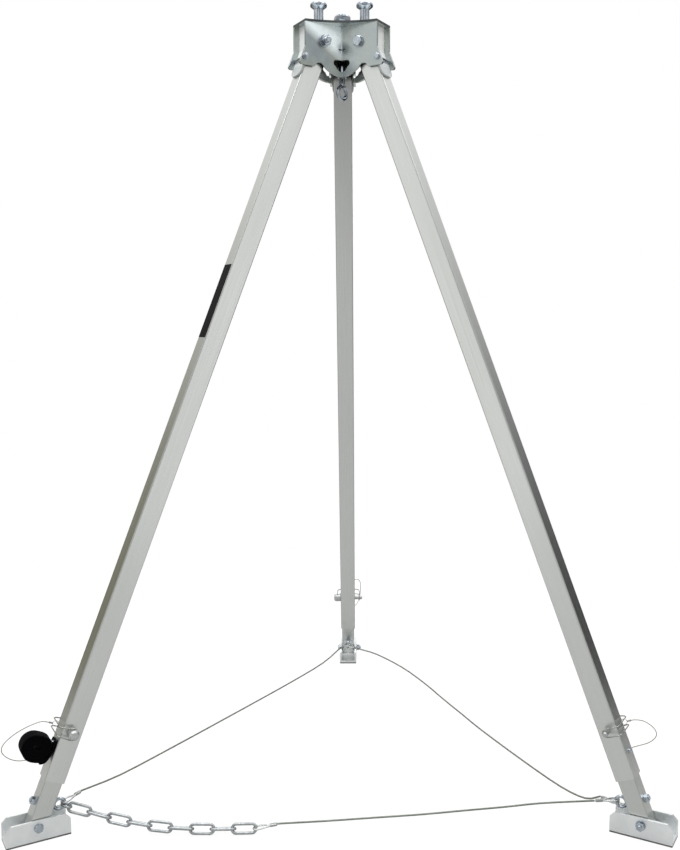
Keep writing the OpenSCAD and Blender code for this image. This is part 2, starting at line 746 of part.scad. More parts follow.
// Rivet with its tab and the lanyard's crimp
module lanyard_rivet(i) {
    lift = rivet_lift[i];
    side = rivet_side[i];
    color("silver") in_leg(i) translate([upper_w / 2, 0, pin_z - rivet_drop[i]]) {
        rotate([0, 90, 0]) {
            translate([0, 0, -upper_wall]) cylinder(d = 5, h = upper_wall + lift + 1);
            translate([0, 0, lift]) cylinder(d = 12, h = 2);
            translate([0, 0, lift + 2]) cylinder(d1 = 9, d2 = 6, h = 2);
        }
        translate([lift + crimp_d / 2 + 0.1, side * (side > 0 ? crimp_from : crimp_from + crimp_l), 0])
            rotate([-90, 0, 0]) cylinder(d = crimp_d, h = crimp_l);
    }
}

module lower_tube(i) {
    color("lightgray") in_leg(i) difference() {
        square_tube(lower_w, lower_wall, tube_corner - 0.5, -leg_reach - lower_below, -lower_top);
        for (k = [0 : hole_steps]) translate([0, 0, pin_z + k * hole_pitch])
            sideways(pin_d + 0.8, -upper_w, upper_w);
        translate([0, 0, -leg_reach]) sideways(foot_bolt_d + 2 * fit_gap, -upper_w, upper_w);
        translate([-upper_w, 0, tie_z]) rotate([0, 90, 0])
            cylinder(d = eye_bolt_d + 2 * fit_gap, h = 2 * upper_w);
    }
}

// Eye on the leg's inner face, its bolt right through, and a nut outside
module tie_eye(i) {
    r = (tie_bore + tie_wire) / 2;
    h = lower_w / 2;
    color("silver") in_leg(i) translate([0, 0, tie_z]) {
        translate([tie_u, 0, 0]) rotate([90, 0, 0]) torus(r, tie_wire);
        translate([tie_u + r, 0, 0]) rotate([0, 90, 0]) cylinder(d = eye_bolt_d, h = h + 13 - tie_u - r);
        translate([-h - 2, 0, 0]) rotate([0, 90, 0]) cylinder(d = 18, h = 2);
        translate([h, 0, 0]) rotate([0, 90, 0]) difference() {
            union() {
                cylinder(d = 21, h = 2);
                translate([0, 0, 2]) hexagon(17, 8);
            }
            translate([0, 0, -1]) cylinder(d = eye_bolt_d + 2 * fit_gap, h = 12);
        }
    }
}

// Feet

module foot_channel(i) {
    in_w = foot_w - 2 * foot_wall;
    color("gainsboro") at_foot(i) difference() {
        upright(-foot_w / 2, foot_w) polygon([
            [-foot_l / 2, sole_t], [foot_l / 2, sole_t],
            [foot_l / 2, sole_t + foot_h - foot_chamfer], [foot_l / 2 - foot_chamfer, sole_t + foot_h],
            [-foot_l / 2 + foot_chamfer, sole_t + foot_h], [-foot_l / 2, sole_t + foot_h - foot_chamfer]
        ]);
        translate([-foot_l, -in_w / 2, sole_t + foot_wall]) cube([2 * foot_l, in_w, foot_h]);
        translate([0, 0, bolt_z]) sideways(foot_bolt_d + 2 * fit_gap, -foot_w, foot_w);
    }
}

module foot_sole(i) {
    color("dimgray") at_foot(i) translate([-foot_l / 2, -foot_w / 2, 0]) cube([foot_l, foot_w, sole_t]);
}

// Foot bolt, nut and the spacers beside the lower tube: the head is on the positive side
module foot_bolt(i) {
    gap = foot_w / 2 - foot_wall - lower_w / 2;
    color("silver") at_foot(i) translate([0, 0, bolt_z]) {
        mirror([0, 1, 0]) cross_bolt(foot_bolt_d, FOOT_HEX, foot_w / 2);
        for (s = [0, 1]) mirror([0, s, 0]) difference() {
            sideways(foot_bolt_d + 9, lower_w / 2 + free_gap, lower_w / 2 + gap);
            sideways(foot_bolt_d + 2 * fit_gap, 0, foot_w / 2);
        }
    }
}

module left_upper_tube() { upper_tube(0); }
module right_upper_tube() { upper_tube(1); }
module back_upper_tube() { upper_tube(2); }
module left_leg_cap() { leg_cap(0); }
module right_leg_cap() { leg_cap(1); }
module back_leg_cap() { leg_cap(2); }
module left_pivot_bush() { pivot_bush(0); }
module right_pivot_bush() { pivot_bush(1); }
module back_pivot_bush() { pivot_bush(2); }
module left_lock_pin() { lock_pin(0); }
module right_lock_pin() { lock_pin(1); }
module back_lock_pin() { lock_pin(2); }
module left_bail() { bail(0); }
module right_bail() { bail(1); }
module back_bail() { bail(2); }
module left_lanyard() { lanyard(0); }
module right_lanyard() { lanyard(1); }
module back_lanyard() { lanyard(2); }
module left_lanyard_rivet() { lanyard_rivet(0); }
module right_lanyard_rivet() { lanyard_rivet(1); }
module back_lanyard_rivet() { lanyard_rivet(2); }
module left_lower_tube() { lower_tube(0); }
module right_lower_tube() { lower_tube(1); }
module back_lower_tube() { lower_tube(2); }
module left_tie_eye() { tie_eye(0); }
module right_tie_eye() { tie_eye(1); }
module back_tie_eye() { tie_eye(2); }
module left_foot_channel() { foot_channel(0); }
module right_foot_channel() { foot_channel(1); }
module back_foot_channel() { foot_channel(2); }
module left_foot_sole() { foot_sole(0); }
module right_foot_sole() { foot_sole(1); }
module back_foot_sole() { foot_sole(2); }
module left_foot_bolt() { foot_bolt(0); }
module right_foot_bolt() { foot_bolt(1); }
module back_foot_bolt() { foot_bolt(2); }

// Ropes and chain

// A rope's end: a loop whose bend sits at p, and the ferrule that closes it
module eye_end(p, d) {
    point_along(p, d) {
        translate([loop_l / 2, 0, 0]) link(loop_l - rope_d, 2 * loop_r - rope_d, rope_d);
        translate([loop_l - 1, 0, 0]) rotate([0, 90, 0]) cylinder(d = ferrule_d, h = ferrule_l + 1);
    }
}

module rope(k, route) {
    end = [for (e = [0, 1]) rope_end(k, e)];
    color("darkgray") from_axis() tube_along(concat(
        [end[0], end[0] + lead(ROPES[k][2])], route,
        [end[1] + lead(ROPES[k][3]), end[1]]), rope_d, 10);
}

module rope_ends(k) {
    color("silver") from_axis() for (e = [0, 1])
        eye_end(rope_bend(k, e), ROPES[k][2 + e]);
}

module left_back_rope() { rope(0, left_back_route); }
module back_right_rope() { rope(1, back_right_route); }
module left_back_ferrules() { rope_ends(0); }
module back_right_ferrules() { rope_ends(1); }

module front_rope() {
    ends = [for (e = [0, 1]) ferrule_end(front_loop[e], front_heading[e])];
    color("darkgray") from_axis() tube_along(concat(
        [ends[1], ends[1] + lead(front_heading[1])], front_route,
        [ends[0] + lead(front_heading[0]), ends[0]]), rope_d, 10);
}

module front_ferrules() {
    color("silver") from_axis() for (e = [0, 1]) eye_end(front_loop[e], front_heading[e]);
}

module front_chain() {
    color("silver") from_axis() for (k = [0 : links - 1])
        point_along(link_start(k), heading(LINK_HEADING[k], LINK_SLOPE[k]))
            translate([link_in_l / 2, 0, 0]) rotate([LINK_ROLL[k % 2], 0, 0])
                link(link_in_l, link_in_w, chain_wire);
}

module connecting_link() {
    color("silver") from_axis() point_along(quick_start, heading(-8, quick_slope))
        translate([quick_in_l / 2, 0, 0]) rotate([-12, 0, 0])
            link(quick_in_l, quick_in_w, quick_wire);
}

// Trim on the left leg

// Black webbing strap, rolled up and riveted to the outer face
module leg_strap() {
    color("black") in_leg(0) translate([0, 0, pin_z]) difference() {
        upright(-strap_w / 2, strap_w) polygon(concat(
            [[strap_face, strap_tail]],
            [for (k = [0 : strap_steps]) roll(k, 0)],
            [for (k = [strap_steps : -1 : 0]) roll(k, strap_t)],
            [[strap_face + strap_t, strap_tail]]));
        translate([0, 0, -strap_rivet_below]) rotate([0, 90, 0])
            cylinder(d = 5 + 2 * fit_gap, h = upper_w / 2 + strap_t + 1);
    }
}

module marking_strip() {
    color("black") in_leg(0) translate([upper_w / 2, -upper_w / 2 + tube_corner, -strip_below - strip_l])
        cube([strip_t, upper_w - 2 * tube_corner, strip_l]);
}

top_plate();
front_side_plate();
right_side_plate();
left_side_plate();
stop_plates();
pivot_bolts();
stop_bolts();
plunger_barrels();
plunger_springs();
left_plunger();
right_plunger();
back_plunger();
hoist_eye_bolt();
hoist_nuts();
left_upper_tube();
right_upper_tube();
back_upper_tube();
left_leg_cap();
right_leg_cap();
back_leg_cap();
left_pivot_bush();
right_pivot_bush();
back_pivot_bush();
left_lock_pin();
right_lock_pin();
back_lock_pin();
left_bail();
right_bail();
back_bail();
left_lanyard();
right_lanyard();
back_lanyard();
left_lanyard_rivet();
right_lanyard_rivet();
back_lanyard_rivet();
left_lower_tube();
right_lower_tube();
back_lower_tube();
left_tie_eye();
right_tie_eye();
back_tie_eye();
left_foot_channel();
right_foot_channel();
back_foot_channel();
left_foot_sole();
right_foot_sole();
back_foot_sole();
left_foot_bolt();
right_foot_bolt();
back_foot_bolt();
left_back_rope();
back_right_rope();
front_rope();
left_back_ferrules();
back_right_ferrules();
front_ferrules();
front_chain();
connecting_link();
leg_strap();
marking_strip();
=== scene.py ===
# %% [markdown]
# # A rescue tripod
# Three telescoping square legs meet in a head of bent zinc-plated sheet. A wire rope
# and a chain tie the swivel feet together. The rigid pieces come from the packed
# model, which stays where it is. This lesson adds what the solids leave plain: the
# stranded ropes, chamfered bolts, woven strap and every finish.

# %% Load the tripod's frame
import math
import bpy
from mathutils import Matrix, Vector


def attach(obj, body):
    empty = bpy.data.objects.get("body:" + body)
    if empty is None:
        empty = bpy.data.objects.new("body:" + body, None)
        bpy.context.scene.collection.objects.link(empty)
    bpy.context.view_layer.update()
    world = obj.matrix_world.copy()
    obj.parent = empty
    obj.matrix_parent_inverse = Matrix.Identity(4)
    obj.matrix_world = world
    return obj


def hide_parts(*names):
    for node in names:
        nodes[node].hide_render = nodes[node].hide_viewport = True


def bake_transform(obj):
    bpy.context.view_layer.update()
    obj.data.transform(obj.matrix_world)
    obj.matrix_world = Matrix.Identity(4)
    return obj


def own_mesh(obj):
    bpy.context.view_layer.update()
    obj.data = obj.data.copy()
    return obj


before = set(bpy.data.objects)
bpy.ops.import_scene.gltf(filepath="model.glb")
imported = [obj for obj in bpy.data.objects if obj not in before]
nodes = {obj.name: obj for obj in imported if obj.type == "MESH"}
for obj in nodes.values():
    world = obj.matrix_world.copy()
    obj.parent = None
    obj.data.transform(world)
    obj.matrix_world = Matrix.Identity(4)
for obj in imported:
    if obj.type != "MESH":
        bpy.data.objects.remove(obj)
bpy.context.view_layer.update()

# %% [markdown]
# The photograph was taken from a little above half height, straight in front. A camera
# fitted to the tube edges gives the place, tilt and lens used here. A small shift
# stands for the crop, which isn't centred on the lens.

# %% Camera at the photograph's viewpoint
bpy.ops.object.select_all(action="DESELECT")
bpy.ops.object.camera_add(
    location=(0.0541, -2.8782, 1.2337),
    rotation=(math.radians(90 - 5.948), 0, math.radians(-0.446)),
)
camera = bpy.context.object
camera.name = "front_view"
camera.data.lens = 40.57
camera.data.shift_x = -0.0352
camera.data.shift_y = 0.0039
bpy.context.scene.camera = camera
bpy.context.scene.view_settings.view_transform = "Standard"
print("camera lens", round(camera.data.lens, 2), "mm")

# %% [markdown]
# The sizes below are the part's own, in millimetres. Each leg has its own axes: u
# points out of the leg's outer face, v goes sideways and z runs up the leg from its
# pivot bolt. One matrix per leg turns these into the frame's metres. The frame's origin
# is the middle of the tripod's box, on the floor. The back foot reaches further from the
# head's axis than the front feet, so the axis stands in front of the origin.

# %% Places on the tripod
MM = 0.001
LEGS = {"left": 210, "right": 330, "back": 90}
LEG_L, TILT, PIVOT_R, PIN_Z = 2096.0, 22.0, 72.0, -1862.0
FOOT_L, FOOT_W, FOOT_BOLT_Z = 152.0, 60.0, 36.0
LEAN, RISE = math.sin(math.radians(TILT)), math.cos(math.radians(TILT))
PIVOT_Z = round(FOOT_BOLT_Z + LEG_L * RISE, 3)
FOOT_R = round(PIVOT_R + LEG_L * LEAN, 3)
FRONT_TURN = math.radians(30)
BACK_REACH = FOOT_R + FOOT_L / 2
FRONT_REACH = BACK_REACH * math.sin(FRONT_TURN) + FOOT_W / 2 * math.cos(FRONT_TURN)
AXIS_Y = round((FRONT_REACH - BACK_REACH) / 2, 3)


def moved(x=0, y=0, z=0):
    """A shift in millimetres, as a matrix in metres."""
    return Matrix.Translation((x * MM, y * MM, z * MM))


def turned_by(angle, axis):
    return Matrix.Rotation(math.radians(angle), 4, axis)


def head_matrix(azimuth):
    """Axes at pivot height on the tripod's axis, X towards azimuth."""
    return moved(y=AXIS_Y, z=PIVOT_Z) @ turned_by(azimuth, "Z")


def leg_matrix(leg):
    """A leg's own axes at its pivot bolt."""
    return head_matrix(LEGS[leg]) @ moved(x=PIVOT_R) @ turned_by(-TILT, "Y")


def in_metres(points):
    return [Vector(p) * MM for p in points]


foot_bolt = leg_matrix("left") @ moved(z=-LEG_L)
print("left foot bolt at", [round(x, 3) for x in foot_bolt.translation])

# %% [markdown]
# A wire rope is a bundle of strands that wind round each other. The mesh here is one
# ring per few millimetres, and each ring is a star of six soft lobes that turns a
# little further along the line, so the lobes become the strands. A round tube with a
# bump map would be lighter, but its outline would stay smooth in a close view.

# %% A stranded line along points
def smooth_line(points, parts):
    """A curve through the points, with that many steps between two of them."""
    line = []
    last = len(points) - 1
    for k in range(last):
        a, b = points[max(k - 1, 0)], points[k]
        c, d = points[k + 1], points[min(k + 2, last)]
        for step in range(parts):
            t = step / parts
            line.append(0.5 * (2 * b + (c - a) * t + (2 * a - 5 * b + 4 * c - d) * t ** 2
                               + (3 * b - a - 3 * c + d) * t ** 3))
    return line + [points[-1]]


def line_length(points):
    return sum((b - a).length for a, b in zip(points, points[1:]))


def even_line(points, step):
    """The same line with points an even step apart."""
    count = max(2, round(line_length(points) / step))
    gap = line_length(points) / count
    out, left, k, here = [points[0].copy()], gap, 0, points[0].copy()
    while len(out) < count and k < len(points) - 1:
        reach = (points[k + 1] - here).length
        if reach >= left:
            here = here + (points[k + 1] - here) * (left / reach)
            out.append(here.copy())
            left = gap
        else:
            left -= reach
            k += 1
            here = points[k].copy()
    return out + [points[-1].copy()]


def line_frames(points):
    """Point, side and second side along a line, carried without twist."""
    frames, side = [], None
    for k, p in enumerate(points):
        along = (points[min(k + 1, len(points) - 1)] - points[max(k - 1, 0)]).normalized()
        if side is None:
            side = along.cross(Vector((0, 0, 1)) if abs(along.z) < 0.9 else Vector((1, 0, 0)))
        side = (side - along * side.dot(along)).normalized()
        frames.append((p, side, along.cross(side)))
    return frames


def mesh_piece(name, verts, faces, edges=()):
    """A new piece from points, selected and active by itself."""
    bpy.ops.object.select_all(action="DESELECT")
    mesh = bpy.data.meshes.new(name)
    mesh.from_pydata(verts, list(edges), faces)
    piece = bpy.data.objects.new(name, mesh)
    bpy.context.scene.collection.objects.link(piece)
    bpy.context.view_layer.objects.active = piece
    piece.select_set(True)
    return piece


def smooth_below(angle):
    bpy.ops.object.shade_smooth_by_angle(angle=math.radians(angle))


def face_outwards(angle):
    """Turn the active piece's faces outwards, and smooth its edges below an angle."""
    bpy.ops.object.mode_set(mode="EDIT")
    bpy.ops.mesh.select_all(action="SELECT")
    bpy.ops.mesh.normals_make_consistent(inside=False)
    bpy.ops.object.mode_set(mode="OBJECT")
    smooth_below(angle)


def tube_faces(n, rings):
    """Faces of a closed tube: rings of n points each, and two ends."""
    faces = [tuple(range(n))[::-1], tuple(range((rings - 1) * n, rings * n))]
    for k in range(rings - 1):
        for j in range(n):
            i = (j + 1) % n
            faces.append((k * n + j, k * n + i, (k + 1) * n + i, (k + 1) * n + j))
    return faces


def lay_rings(name, points, outline, lay=None):
    """A closed tube whose outline, a list of (radius, angle), turns once per lay."""
    frames = line_frames(points)
    verts, walked = [], 0.0
    for k, (p, a, b) in enumerate(frames):
        walked += (p - frames[k - 1][0]).length if k else 0.0
        twist = 2 * math.pi * walked / lay if lay else 0.0
        verts += [p + r * (math.cos(t + twist) * a + math.sin(t + twist) * b) for r, t in outline]
    piece = mesh_piece(name, verts, tube_faces(len(outline), len(frames)))
    face_outwards(50)
    return piece


def strands(diameter, count=6, points=4):
    """Outline of a rope: lobes of equal size round a core."""
    outline = []
    for k in range(count * points):
        t = 2 * math.pi * k / (count * points)
        lobe = abs(math.cos(t * count / 2))
        outline.append((diameter / 2 * (0.8 + 0.2 * lobe ** 0.7), t))
    return outline


def wire(diameter, sides=12):
    return [(diameter / 2, 2 * math.pi * k / sides) for k in range(sides)]


print("rope outline points:", len(strands(0.0048)))

# %% [markdown]
# Three wire ropes tie the feet. Each is a fixed length, so it hangs in a slight sag and
# lies on the route that the solids hold. Two go from tie eye to tie eye. The front rope
# starts at the end of the chain, so the places of the chain's links come first.

# %% Rope routes
ROPE_D, ROPE_LAY, ROPE_STEP = 4.8, 34.0, 3.0
SLEEVE_START, SLEEVE_END, LEAD = 40.0, 58.0, 10.0
TIE_R, TIE_Z, TIE_RING, TIE_WIRE = 800.582, 69.184, 13.0, 8.0
FREE_GAP, LOOP_GAP = 0.3, 0.95
TIE_SEAT = TIE_WIRE / 2 + ROPE_D / 2 + LOOP_GAP


def spot(leg, r, z):
    a = math.radians(LEGS[leg])
    return Vector((r * math.cos(a), r * math.sin(a), z))


def tie_hold(leg, up):
    return spot(leg, TIE_R - math.sqrt(TIE_RING ** 2 - up ** 2), TIE_Z + up)


def loop_bend(leg, heading, up):
    return tie_hold(leg, up) - Vector((heading[0], heading[1], 0)).normalized() * TIE_SEAT


def placed(point):
    """From millimetres about the tripod's axis to the frame."""
    return (Vector(point) + Vector((0, AXIS_Y, 0))) * MM


def heading_of(yaw, slope):
    y, s = math.radians(yaw), math.radians(slope)
    return Vector((math.cos(s) * math.cos(y), math.cos(s) * math.sin(y), math.sin(s)))


LINK_SLOPE = [-11, -12, -10, -8, -5, -3, -1, 0, 0]
LINK_HEADING = [-8, -8, -6, -5, -3, -1, 0, 1, 2]
LINK_IN_L, LINK_IN_W, CHAIN_WIRE, LINK_ROLL = 52.0, 14.0, 7.0, (68, -22)
QUICK_IN_L, QUICK_IN_W, QUICK_WIRE, QUICK_ROLL = 19.0, 13.0, 6.0, -12
LINK_OVERLAP, QUICK_SLOPE, QUICK_DROP = 0.5, -20, 5.0
link_ways = [heading_of(yaw, slope) for yaw, slope in zip(LINK_HEADING, LINK_SLOPE)]
quick_way = heading_of(LINK_HEADING[0], QUICK_SLOPE)
quick_start = tie_hold("left", -QUICK_DROP) - quick_way * (TIE_WIRE / 2 + FREE_GAP)
link_starts = [quick_start + quick_way * (QUICK_IN_L - LINK_OVERLAP)]
for way in link_ways:
    link_starts.append(link_starts[-1] + way * (LINK_IN_L - LINK_OVERLAP))
chain_end = link_starts.pop()

ROPES = {
    "left_back_rope": dict(
        ends=[("left", (0.5, 0.866, 0.03), 3.8), ("back", (-0.5, -0.866, 0), 3)],
        route=[(-588, -224, 58), (-488, -51, 53), (-388, 123, 50), (-288, 296, 48),
               (-188, 469, 47), (-88, 642, 51)]),
    "back_right_rope": dict(
        ends=[("back", (0.72, -0.69, 0), -3), ("right", (-0.45, 0.866, -0.2), -3)],
        route=[(105, 708, 60), (192, 590, 54), (262, 462, 45), (316, 342, 37), (366, 232, 31),
               (413, 123, 27), (504, -69, 22), (580, -226, 22), (627, -308, 31)]),
    "front_rope": dict(
        ends=[("left", (1, 0.04, 0.16), None), ("right", (-1, 0, -0.06), 3)],
        route=[(-40, -418, 31), (80, -414, 37), (200, -410, 43), (310, -406, 51),
               (402, -402, 57), (495, -399, 65)]),
}
for facts in ROPES.values():
    bends = []
    for leg, heading, up in facts["ends"]:
        bends.append(chain_end - Vector((ROPE_D / 2, 0, 0)) if up is None
                     else loop_bend(leg, heading, up))
    ways = [Vector(end[1]).normalized() for end in facts["ends"]]
    outs = [bend + way * SLEEVE_END for bend, way in zip(bends, ways)]
    facts["bends"], facts["ways"] = bends, ways
    facts["line"] = [placed(p) for p in [
        outs[0], outs[0] + ways[0] * LEAD, *map(Vector, facts["route"]),
        outs[1] + ways[1] * LEAD, outs[1]]]
print({name: round(line_length(facts["line"]), 3) for name, facts in ROPES.items()})

# %% [markdown]
# Each route becomes a smooth curve, with a ring of strands every three millimetres. The
# free stretch between the pressed sleeves is one cord. Its ends are made in the next
# step.

# %% Ropes as six-strand cords
rope_pieces = {}
for name, facts in ROPES.items():
    path = smooth_line(facts["line"], 3)
    rings = even_line(path, ROPE_STEP * MM)
    rope = lay_rings("wire_" + name, rings, strands(ROPE_D * MM), ROPE_LAY * MM)
    rope_pieces[name] = rope
    facts["path"] = path
    print(rope.name, len(rope.data.polygons), "faces,", round(line_length(path), 3), "m")

# %% [markdown]
# At each end the rope turns back on itself round the tie eye, and a metal sleeve is
# pressed over both parts. The loop is the same six-strand line along a drop-shaped
# path. The sleeve starts as a cylinder that is scaled to an oval, cut into rings and
# pinched by a press tool, which leaves its three dents.

# %% Drop-shaped loop and pressed sleeve
LOOP_HALF, LOOP_L, LOOP_STEP = 8.6, 42.0, 1.5
SLEEVE_R, SLEEVE_OVAL, SLEEVE_RINGS = 4.2, (1, 1.22, 0.98), 14
DENTS, DENT, SLEEVE_TAPER = 3, 0.12, 0.16


def along_matrix(bend, way):
    """Axes at a loop's bend, X along the rope."""
    yaw = math.atan2(way.y, way.x)
    turn = Matrix.Rotation(yaw, 4, "Z") @ Matrix.Rotation(-math.asin(way.z), 4, "Y")
    return Matrix.Translation(placed(bend)) @ turn


def loop_points(half, length):
    """From the sleeve round the bend, back and on through the sleeve, in the loop's own axes."""
    side = [(length + 6, 2.3), (length - 3, 2.9), (length * 0.72, 5.0),
            (length * 0.45, half - 0.6), (half + 1.5, half), (half * 0.42, half * 0.83),
            (0.6, half * 0.42)]
    through = [(SLEEVE_END - 5, -1.0), (SLEEVE_END, 0), (SLEEVE_END + 4, 0)]
    points = side + [(0, 0)] + [(x, -y) for x, y in side[::-1]] + through
    return [Vector((x, y, 0)) * MM for x, y in points]


def apply_all(piece):
    bpy.context.view_layer.objects.active = piece
    for modifier in list(piece.modifiers):
        bpy.ops.object.modifier_apply(modifier=modifier.name)


def round_bar(name, radius, start, end, sides, z=0.0):
    """A cylinder along X from start to end."""
    bpy.ops.object.select_all(action="DESELECT")
    bpy.ops.mesh.primitive_cylinder_add(
        vertices=sides, radius=radius * MM, depth=(end - start) * MM,
        location=((start + end) / 2 * MM, 0, z * MM), rotation=(0, math.pi / 2, 0))
    bar = bpy.context.object
    bar.name = name
    bpy.ops.object.transform_apply(location=True, rotation=True, scale=True)
    return bar


def cut_across(places):
    """Cut the active piece across X at each place."""
    bpy.ops.object.mode_set(mode="EDIT")
    for x in places:
        bpy.ops.mesh.select_all(action="SELECT")
        bpy.ops.mesh.bisect(plane_co=(x * MM, 0, 0), plane_no=(1, 0, 0))
    bpy.ops.mesh.select_all(action="DESELECT")
    bpy.ops.object.mode_set(mode="OBJECT")


def soft_edges(piece, width, angle):
    """A small bevel on the sharp edges, and smooth shading below an angle."""
    bevel = piece.modifiers.new("soft edge", "BEVEL")
    bevel.width = width * MM
    bevel.segments = 2
    bevel.limit_method = "ANGLE"
    apply_all(piece)
    smooth_below(angle)


def pressed_sleeve(name, start, end):
    sleeve = round_bar(name, SLEEVE_R, start, end, 28)
    cut_across([start + (end - start) * cut / SLEEVE_RINGS for cut in range(1, SLEEVE_RINGS)])
    bpy.ops.object.mode_set(mode="EDIT")
    bpy.ops.mesh.select_all(action="SELECT")
    bpy.ops.transform.resize(value=SLEEVE_OVAL)
    bpy.ops.object.mode_set(mode="OBJECT")
    for vertex in sleeve.data.vertices:
        t = (vertex.co.x / MM - start) / (end - start)
        pinch = DENT * max(0.0, math.cos(2 * math.pi * DENTS * (t - 0.5 / DENTS)))
        edge = SLEEVE_TAPER if t < 0.01 or t > 0.99 else 0.0
        vertex.co.z *= 1 - pinch - edge
        vertex.co.y *= 1 - edge * 0.8
    soft_edges(sleeve, 0.5, 40)
    return sleeve


def join_pieces(name, pieces):
    bpy.ops.object.select_all(action="DESELECT")
    for piece in pieces:
        piece.select_set(True)
    bpy.context.view_layer.objects.active = pieces[0]
    bpy.ops.object.join()
    joined = bpy.context.object
    joined.name = joined.data.name = name
    return joined


rope_ends = {}
for name, facts in ROPES.items():
    for k, label in enumerate(("near", "far")):
        place = along_matrix(facts["bends"][k], facts["ways"][k])
        drop = even_line(smooth_line(loop_points(LOOP_HALF, LOOP_L), 6), LOOP_STEP * MM)
        loop = lay_rings(f"{name}_{label}_loop", drop, strands(ROPE_D * MM), ROPE_LAY * MM)
        loop.data.transform(place)
        sleeve = pressed_sleeve(f"{name}_{label}_sleeve", SLEEVE_START, SLEEVE_END)
        sleeve.data.transform(place)
        rope_ends[name, label] = (loop, sleeve)
print("rope ends:", len(rope_ends))

# %% [markdown]
# The chain's links are welded from round wire. Each starts as a torus whose two halves
# are drawn apart, and every second link is turned a quarter on the last. A shorter link
# connects the chain to the left tie eye.

# %% Chain of nine links and its connecting link
def chain_link(name, inner_l, inner_w, wire_d):
    bpy.ops.object.select_all(action="DESELECT")
    bpy.ops.mesh.primitive_torus_add(
        major_segments=50, minor_segments=18, major_radius=(inner_w + wire_d) / 2 * MM,
        minor_radius=wire_d / 2 * MM)
    link = bpy.context.object
    link.name = name
    half = (inner_l - inner_w) / 2 * MM
    for vertex in link.data.vertices:
        vertex.co.x += math.copysign(half, vertex.co.x)
    bpy.ops.object.shade_smooth()
    return link


def link_place(start, way, inner_l, roll):
    return along_matrix(start, way) @ moved(x=inner_l / 2) @ turned_by(roll, "X")


links = []
for k, (start, way) in enumerate(zip(link_starts, link_ways)):
    link = chain_link(f"link_{k + 1}", LINK_IN_L, LINK_IN_W, CHAIN_WIRE)
    link.data.transform(link_place(start, way, LINK_IN_L, LINK_ROLL[k % 2]))
    links.append(link)
quick_link = chain_link("welded_connecting_link", QUICK_IN_L, QUICK_IN_W, QUICK_WIRE)
quick_place = link_place(quick_start, quick_way, QUICK_IN_L, QUICK_ROLL)
quick_link.data.transform(quick_place)
chain = join_pieces("welded_chain", links)
print(chain.name, len(link_starts), "links,", len(chain.data.polygons), "faces")

# %% [markdown]
# When the legs fold, the two ends of a rope come together. A rope that is drawn along
# one line can't crumple by itself. From the folded and the open chord the script works
# out how much of each cord a fold would keep, and prints it; the cord keeps its shape.
# Each cord goes with its near leg. The front rope hangs on the chain, so the chain and the
# rope's near loop and sleeve go with it. At every other end the loop stays where it is and
# the sleeve goes with that leg's lower tube.

# %% A rope's place on the legs, and what a fold would keep
FOLD, LEAST_KEPT = math.radians(20), 0.03


def folded(leg, point):
    """Where a point on a leg goes when the leg folds in."""
    pivot = leg_matrix(leg).translation
    axis = leg_matrix(leg).to_3x3() @ Vector((0, 1, 0))
    return pivot + Matrix.Rotation(FOLD, 3, axis) @ (point - pivot)


def give_way(pieces, near, far, start, end):
    axis = leg_matrix(near).to_3x3() @ Vector((0, 1, 0))
    chord = end - start
    folded_chord = Matrix.Rotation(-FOLD, 3, axis) @ (folded(far, end) - folded(near, start))
    travel = chord - folded_chord
    way = travel.normalized()
    keep = max(LEAST_KEPT, 1 - travel.length / way.dot(chord))
    for piece in pieces:
        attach(piece, "leg_" + near)
        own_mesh(piece)
    return keep


for name, facts in ROPES.items():
    rope = rope_pieces[name]
    near, far = facts["ends"][0][0], facts["ends"][1][0]
    start, giving = facts["line"][0], [rope]
    if name == "front_rope":
        start, giving = placed(link_starts[0]), [rope, chain, *rope_ends[name, "near"]]
    kept = give_way(giving, near, far, start, facts["line"][-1])
    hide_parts(name)
    ends = []
    for k, label in enumerate(("near", "far")):
        loop, sleeve = rope_ends[name, label]
        leg = facts["ends"][k][0]
        if loop not in giving:
            place = along_matrix(facts["bends"][k], facts["ways"][k])
            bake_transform(loop)
            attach(sleeve, "lower_" + leg)
        ends += [loop, sleeve]
    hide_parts(name.replace("_rope", "_ferrules"))
    print(name, "keeps", round(kept, 3))
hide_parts("front_chain")
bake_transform(quick_link)
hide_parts("connecting_link")

# %% [markdown]
# A thin coated cable keeps each lock pin with its leg. It leaves a crimp on the pin's
# bail, makes one free loop and ends in a crimp at a rivet. Each cable stays where it is
# drawn.

# %% Lanyards
TUBE_HALF = 25.4
LANYARD_D, LANYARD_LAY, LANYARD_STEP = 2.0, 13.0, 1.6
CRIMP_U, CRIMP_HALF, RING_Z = 51.2, 5.0, 8.0
RIVET_RISE, RIVET_SIDE, CRIMP_LEAD = 2.3, 15.0, 4.0
LANYARDS = {
    "left": [(76, 0, 6), (98, -4, -10), (119, -12, -34), (132, -20, -58), (136, -26, -77),
             (129, -31, -93), (108, -33, -104), (82, -34, -106), (57, -33, -96), (39, -30, -70),
             (31, -25, -46)],
    "right": [(66, 2, 7), (81, 8, 0), (92, 16, -14), (97, 26, -32), (93, 34, -48),
              (80, 38, -59), (62, 38, -65), (42, 31, -65)],
    "back": [(66, -8, 14), (76, -24, 24), (82, -38, 20), (84, -46, 2), (80, -46, -22),
             (70, -44, -44), (54, -38, -58), (38, -28, -64)],
}
RIVETS = {"left": (38, 3.5, -1), "right": (63, 0.0, 1), "back": (63, 0.0, -1)}


